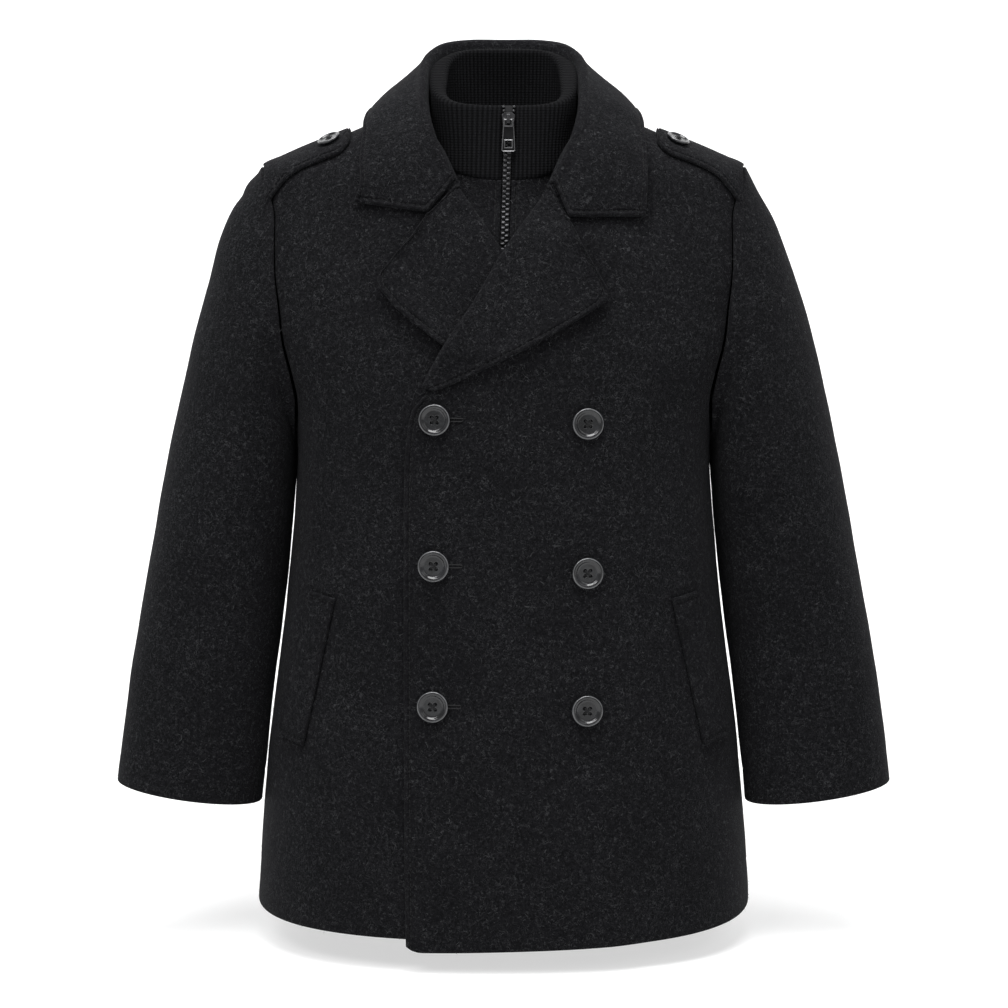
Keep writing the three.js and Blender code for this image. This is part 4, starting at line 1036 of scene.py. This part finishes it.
def buttonPoints(radius):
    # a square grid drawn onto a disc, raised by the profile, with four deep holes, and the share of painted rim
    # highlight at each point
    a, b = np.meshgrid(np.linspace(-1, 1, button["grid"]), np.linspace(-1, 1, button["grid"]), indexing="ij")
    x, z = a * np.sqrt(1 - b * b / 2), b * np.sqrt(1 - a * a / 2)
    along = np.minimum(1, np.hypot(x, z))
    out = np.interp(along, buttonProfile[:, 0], buttonProfile[:, 1]) / np.maximum(along, 1e-9)
    height = np.interp(along, buttonProfile[:, 0], buttonProfile[:, 2])
    x, z = x * out, z * out
    for sx, sz in ((1, 1), (1, -1), (-1, 1), (-1, -1)):
        away = np.hypot(x - sx * button["holeAt"], z - sz * button["holeAt"])
        hole = 1 - smooth(button["holeRadius"] * 0.75, button["holeRadius"] * 1.15, away)
        height = height - button["holeDepth"] * hole * (along < 0.5)
    wornFrom, wornFull, wornUntil, wornEnd = button["worn"]
    # painted highlight: 1 on a thin ring near the rim, 0 elsewhere
    worn = smooth(wornFrom, wornFull, along) * (1 - smooth(wornUntil, wornEnd, along))
    return np.stack([x, -height, z], -1) * radius, worn


def threadLoops(radius):
    # strands that cross over the middle of the button from hole to hole: a half ellipse with a round section
    at, up = button["holeAt"] * radius, 0.24 * radius
    bow, around = np.meshgrid(np.linspace(0, np.pi, 14), np.arange(7) / 7 * 2 * np.pi, indexing="ij")
    strands, faces = [], []
    for k, (sx, sz, shift) in enumerate([(1, 1, -.28), (1, 1, .28), (1, -1, -.28), (1, -1, .28)]):
        side = np.array([-sz, 0, sx]) / np.sqrt(2)
        line = np.stack([sx * at * np.cos(bow), -up - 0.05 * radius * np.sin(bow) * (1 + 0.4 * (k > 1)) + 0.14
            * radius * (np.abs(np.cos(bow)) > 0.97), sz * at * np.cos(bow)], -1)
        spread = side * (np.cos(around) * 0.27 + shift)[..., None] + np.array([0, -1.0, 0]) * (np.sin(around)
            * 0.24)[..., None]
        index = np.arange(bow.size).reshape(bow.shape) + k * bow.size
        strands.append((line + spread).reshape(-1, 3))
        faces.append(gridFaces(index, True))
    return np.concatenate(strands), np.concatenate(faces)


def placeButton(name, node, radius, seat, normal):
    # the disc with a flat back, and its thread
    points, worn = buttonPoints(radius)
    index = np.arange(worn.size).reshape(worn.shape)
    spot = lambda p: turnedTo(p, normal) + seat
    disc = makeMesh(name, spot(points.reshape(-1, 3)), gridFaces(index), horn, shades=worn.ravel())
    shape = bmesh.new()
    shape.from_mesh(disc.data)
    bmesh.ops.edgeloop_fill(shape, edges=[edge for edge in shape.edges if edge.is_boundary])
    bmesh.ops.recalc_face_normals(shape, faces=shape.faces)
    shape.to_mesh(disc.data)
    shape.free()
    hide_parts(node)
    strands, faces = threadLoops(radius)
    return makeMesh(name + "Thread", spot(strands), faces, darkThread)


def normalAt(turn, z):
    # the torso's own normal at one place
    turn, z = np.array([turn]), np.array([z], float)
    return (onTorso(turn, z, np.ones(1)) - onTorso(turn, z, np.zeros(1)))[0]


for k, (x, z) in enumerate(button["places"]):
    turn, lift = turnAt(x, z), overlapLift(np.array(x), np.array(z)) + button["seat"]
    seat = onTorso(np.array([turn]), np.array([float(z)]), np.array([lift]))[0]
    placeButton(f"frontButton{k + 1}", f"front_button_{k + 1}", button["radius"], seat, normalAt(turn, z))
for sideName, side in (("Left", 1), ("Right", -1)):
    place = np.array([[button["shoulderX"]], [strap["tipY"] - button["shoulderAhead"]]])
    spot, turn, z = onShoulder(*place, strap["lift"] + button["seat"])
    flip = np.array([side, 1, 1.0])
    placeButton("shoulderButton" + sideName, "shoulder_button_" + sideName.lower(), button["shoulderRadius"],
        spot[0] * flip, normalAt(turn[0], z[0]) * flip)

buttonhole = {"from": 6.0, "to": 17.5, "half": 0.95, "thick": 0.42, "lift": cloth["woolWall"] / 2 + 0.12}


def buttonholes():
    # corded edge of each hole: a tube carried round a long oval on the left front, its ends pushed square
    line, around = np.meshgrid(np.arange(72) / 72 * 2 * np.pi, np.arange(8) / 8 * 2 * np.pi, indexing="ij")
    points, faces = [], []
    for k, (x, z) in enumerate(button["places"][3:]):
        long, wide = (buttonhole["to"] - buttonhole["from"]) / 2, buttonhole["half"]
        ox = np.sign(np.cos(line)) * np.abs(np.cos(line)) ** 0.35 * long
        oz = np.sign(np.sin(line)) * np.abs(np.sin(line)) ** 0.7 * wide
        ripple = 1 + 0.12 * np.cos(line * 36)
        px = x + (buttonhole["from"] + buttonhole["to"]) / 2 + ox
        pz = z + oz + np.cos(around) * buttonhole["thick"] * ripple
        lift = overlapLift(px, pz) + buttonhole["lift"] + np.sin(around) * buttonhole["thick"] * ripple
        points.append(onTorso(turnAt(px, pz), pz, lift).reshape(-1, 3))
        index = np.arange(line.size).reshape(line.shape) + k * line.size
        faces.append(gridFaces(np.concatenate([index, index[:1]]), True))
    return makeMesh("buttonholes", np.concatenate(points), np.concatenate(faces), darkThread)


buttonholes()
print("buttons made")


# topstitching: short capsules sunk into the grooves

stitch = {"pitch": 3.1, "half": 1.2, "thick": 0.24, "sunk": 0.16, "endDip": 0.22, "uneven": 0.12, "skew": 0.05,
    "shortest": 8}


def stitchLines():
    # the line at the stitching's distance inside each sewn edge, cut where it crosses another sewn edge's line
    sewnEdges = {
        "frontLeft": "L", "lapelLeft": "RB", "lapelRight": "RB", "collar": "RBT",
        "epauletteLeft": "LRB", "epauletteRight": "LRB",
        "weltLeft": "BT", "weltRight": "BT", "insertLeft": "L", "insertRight": "L"}
    for name, sides in sewnEdges.items():
        made = clothPieces[name]
        cut = {"L": (slice(None), 8), "R": (slice(None), -9), "B": (8, slice(None)), "T": (-9, slice(None))}
        for side in sides:
            points, normal, away = [made[key][cut[side]] for key in ("outer", "normal", "away")]
            inside = np.ones(len(points), bool)
            for k, other in enumerate("LRBT"):
                if other != side and other in sides:
                    inside &= away[:, k] >= cloth["stitchIn"] - 0.05
            yield points[inside], normal[inside]


def stitches():
    # each stitch: five rings of six points along its line, thin at both ends
    rings, around = np.meshgrid(np.linspace(-1, 1, 5), np.arange(6) / 6 * 2 * np.pi, indexing="ij")
    thick = stitch["thick"] * np.sqrt(np.maximum(0.02, 1 - rings ** 4))
    blocks = []
    for points, normal in stitchLines():
        run = np.concatenate([[0], np.cumsum(np.linalg.norm(np.diff(points, axis=0), axis=1))])
        if run[-1] < stitch["shortest"]:
            continue
        at = np.arange(stitch["pitch"] / 2, run[-1], stitch["pitch"])
        at = at + chance.normal(0, stitch["uneven"], len(at))
        read = lambda values, where: np.stack([np.interp(where, run, values[:, k]) for k in range(3)], -1)
        centre, out = read(points, at), unit(read(normal, at))
        along = unit(read(points, at + 1) - read(points, at - 1))
        across = np.cross(along, out)
        across = across + along * chance.normal(0, stitch["skew"], len(at))[:, None]
        centre, along, across, out = [v[:, None, None] for v in (centre, along, across, out)]
        height = thick * np.sin(around) + stitch["sunk"] - stitch["endDip"] * rings ** 4
        block = (centre + along * (rings * stitch["half"])[..., None]
            + across * (thick * np.cos(around))[..., None] + out * height[..., None])
        blocks.append(block.reshape(-1, 30, 3))
    points = np.concatenate(blocks)
    index = np.arange(points.shape[0] * 30).reshape(-1, 5, 6)
    faces = np.concatenate([gridFaces(block, True) for block in index])
    print("stitches:", len(points))
    return makeMesh("topstitching", points.reshape(-1, 3), faces, darkThread)


stitches()


# loose fibres on the melton

fluff = {
    "perSquareMm": 0.04, "long": (1.4, 4.6), "wide": (0.10, 0.2), "start": 0.02, "bend": 0.75,
    "standing": 0.22, "standsBy": (0.3, 1.5),
    # out of the cloth over each third of a fibre, and what a standing one adds to it
    "rise": (0.16, -0.10, 0.22), "standRise": (0.1, 0.35, 0.6),
    "taper": (0.5, 1, 1, 0.4),
}


def fibresOn(name, names):
    # each fibre is a ribbon of three quads along a kinked line in the surface, its ends lifted off it
    starts, along, across, out = [], [], [], []
    for key in names:
        outer, normal = clothPieces[key]["outer"], clothPieces[key]["normal"]
        a, b, c, d = outer[:-1, :-1], outer[:-1, 1:], outer[1:, :-1], outer[1:, 1:]
        area = np.linalg.norm(np.cross(b - a, c - a), axis=-1).ravel()
        total = np.cumsum(area)
        count = int(total[-1] * fluff["perSquareMm"])
        cell = np.searchsorted(total, chance.random(count) * total[-1]).clip(0, len(total) - 1)
        s, t = chance.random((2, count, 1))
        a, b, c, d = [v.reshape(-1, 3)[cell] for v in (a, b, c, d)]
        starts.append(mix(mix(a, b, s), mix(c, d, s), t))
        n = unit(normal[:-1, :-1].reshape(-1, 3)[cell])
        angle = chance.random((count, 1)) * 2 * np.pi
        flat = unit(b - a)
        flat = unit(flat - (flat * n).sum(-1, keepdims=True) * n)
        along.append(flat * np.cos(angle) + np.cross(n, flat) * np.sin(angle))
        out.append(n)
    starts, along, out = [np.concatenate(v) for v in (starts, along, out)]
    across = np.cross(out, along)
    count = len(starts)
    long = chance.uniform(*fluff["long"], (count, 1)) * chance.uniform(0.6, 1, (count, 1))
    wide = chance.uniform(*fluff["wide"], (count, 1))
    stands = (chance.random((count, 1)) < fluff["standing"]) * chance.uniform(*fluff["standsBy"], (count, 1))
    bend = chance.normal(0, fluff["bend"], (3, count, 1))
    line = [starts + out * fluff["start"]]
    turned = np.zeros((count, 1))
    for turn, rise, standRise in zip(bend, fluff["rise"], fluff["standRise"]):
        turned = turned + turn
        forward = (along * np.cos(turned) + across * np.sin(turned)) * long / 3
        line.append(line[-1] + forward + out * (rise + stands * standRise))
    line = np.stack(line, 1)
    tangent = unit(np.gradient(line, axis=1))
    taper = np.array(fluff["taper"])[None, :, None]
    sideways = unit(np.cross(out[:, None], tangent)) * (wide[:, None] / 2) * taper
    points = np.stack([line - sideways, line + sideways], 2).reshape(-1, 3)
    index = np.arange(count * 8).reshape(count, 4, 2)
    faces = np.stack([index[:, :-1, 0], index[:, 1:, 0], index[:, 1:, 1], index[:, :-1, 1]], -1).reshape(-1, 4)
    shade = np.repeat(chance.beta(1.1, 3.4, count), 8)
    print(name, count, "fibres")
    return makeMesh(name, points, faces, woolFibre, shades=shade, flatShaded=True)


fibresOn("fibresFronts", ["frontLeft", "frontRight", "lapelLeft", "lapelRight", "epauletteLeft",
    "epauletteRight", "weltLeft", "weltRight", "insertLeft", "insertRight", "collar"])
fibresOn("fibresBack", ["backPanel"])
fibresOn("fibresSleeves", ["sleeveLeft", "sleeveRight"])
print("fibres made")


# what each sheet was cut to, in metres

cuts = {
    # piece: (width, length), area, how it is held, what it lies on
    "frontLeft": ((0.262, 0.522), 0.1205, "hung", ["backPanel"]),
    "frontRight": ((0.262, 0.514), 0.1185, "hung", ["backPanel"]),
    "backPanel": ((0.47, 0.53), 0.1925, "hung", ["frontLeft", "frontRight"]),
    "sleeveLeft": ((0.325, 0.405), 0.0925, "hung", ["backPanel", "frontLeft"]),
    "sleeveRight": ((0.325, 0.405), 0.0925, "hung", ["backPanel", "frontRight"]),
    "lapelLeft": ((0.066, 0.156), 0.0076, "folded", ["frontLeft"]),
    "lapelRight": ((0.06, 0.13), 0.0063, "folded", ["frontRight"]),
    "collar": ((0.52, 0.105), 0.031, "folded", ["frontLeft", "frontRight", "backPanel"]),
    "epauletteLeft": ((0.042, 0.056), 0.0022, "laid", ["frontLeft", "backPanel"]),
    "epauletteRight": ((0.042, 0.056), 0.0022, "laid", ["frontRight", "backPanel"]),
    "weltLeft": ((0.0245, 0.1), 0.0023, "laid", ["frontLeft"]),
    "weltRight": ((0.0245, 0.1), 0.0023, "laid", ["frontRight"]),
    "insertLeft": ((0.056, 0.13), 0.0056, "hung", ["ribCollar", "frontRight"]),
    "insertRight": ((0.056, 0.13), 0.0056, "hung", ["ribCollar", "frontRight"]),
    "ribCollar": ((0.275, 0.052), None, "hung", ["insertLeft", "insertRight"]),
    "zipTapeStrip": ((0.01, 0.18), 0.00095, "hung", ["insertLeft", "insertRight"]),
}
for name, (flat, area, held, restsOn) in cuts.items():
    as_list(restsOn)


# floor, lights and camera

studio = {
    "floorZ": -0.5345, "floorWhite": 0.45, "floorGlow": 0.60, "world": 0.42,
    "lights": [
        # place, aim, size, power
        ((-1.2, -1.7, 2.0), (0, 0, -0.25), 1.2, 36),
        ((1.6, -1.9, 1.2), (0, 0, -0.25), 1.4, 10),
        ((0, -0.6, 2.2), (0, 0, -0.25), 1.8, 80),
        ((-1.6, 0.9, 1.0), (-1.2, 2.6, 0.2), 1.5, 45),
        ((1.6, 0.9, 1.0), (1.2, 2.6, 0.2), 1.5, 45),
    ],
    "eye": (0.0, -2.1786, 0.0532), "aim": (0.0003, 0.0, -0.253), "lens": 120.9,
}


def backdrop():
    # a sheet that runs flat under the coat and bends up behind it: quarter circle between two lines
    t = np.linspace(0, np.pi / 2, 24)
    y = np.concatenate([[-6], [1.2], 1.2 + 1.4 * np.sin(t[1:]), [2.6]])
    z = np.concatenate([[0], [0], 1.4 * (1 - np.cos(t[1:])), [5]]) + studio["floorZ"]
    x = np.linspace(-6, 6, 13)
    points = np.stack(np.broadcast_arrays(x[:, None], y[None], z[None]), -1)
    mesh = bpy.data.meshes.new("backdrop")
    index = np.arange(points[..., 0].size).reshape(points.shape[:2])
    mesh.from_pydata(points.reshape(-1, 3).tolist(), [], gridFaces(index).tolist())
    mesh.polygons.foreach_set("use_smooth", np.ones(len(mesh.polygons), bool))
    sheet = bpy.data.objects.new("backdrop", mesh)
    f = Finish("paperWhite")
    w = studio["floorWhite"]
    grain = f.noise(3.0, 2)
    mesh.materials.append(f.finished({"Base Color": f.colors(grain, (w, w, w), (w * 0.995, w * 0.995, w)),
        "Roughness": 0.9 + grain * 0.05, "Specular IOR Level": 0.0,
        "Emission Color": (1, 1, 1, 1), "Emission Strength": studio["floorGlow"]}))
    bpy.context.scene.collection.objects.link(sheet)
    sheet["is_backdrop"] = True


def pointedAt(made, place, aim):
    # an object at a place, its -Z towards the aim
    made.location = place
    made.rotation_euler = (Vector(aim) - Vector(place)).to_track_quat("-Z", "Y").to_euler()
    bpy.context.scene.collection.objects.link(made)
    return made


backdrop()
for k, (place, aim, size, power) in enumerate(studio["lights"]):
    lamp = bpy.data.lights.new(f"softLight{k + 1}", "AREA")
    lamp.shape, lamp.size, lamp.energy = "DISK", size, power
    pointedAt(bpy.data.objects.new(f"softLight{k + 1}", lamp), place, aim)
world = bpy.data.worlds.new("paleRoom")
world.use_nodes = True
world.node_tree.nodes["Background"].inputs["Color"].default_value = (1, 1, 1, 1)
world.node_tree.nodes["Background"].inputs["Strength"].default_value = studio["world"]
bpy.context.scene.world = world
bpy.context.scene.view_settings.view_transform = "Standard"
camera = bpy.data.cameras.new("camera")
camera.lens, camera.sensor_width = studio["lens"], 36
camera.clip_start, camera.clip_end = 0.05, 30
bpy.context.scene.camera = pointedAt(bpy.data.objects.new("camera", camera), studio["eye"], studio["aim"])
print("stage made")

plain = lambda box: [[float(v) for v in corner] for corner in box]
{"cad": plain(cadBox), "visual": plain(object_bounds())}
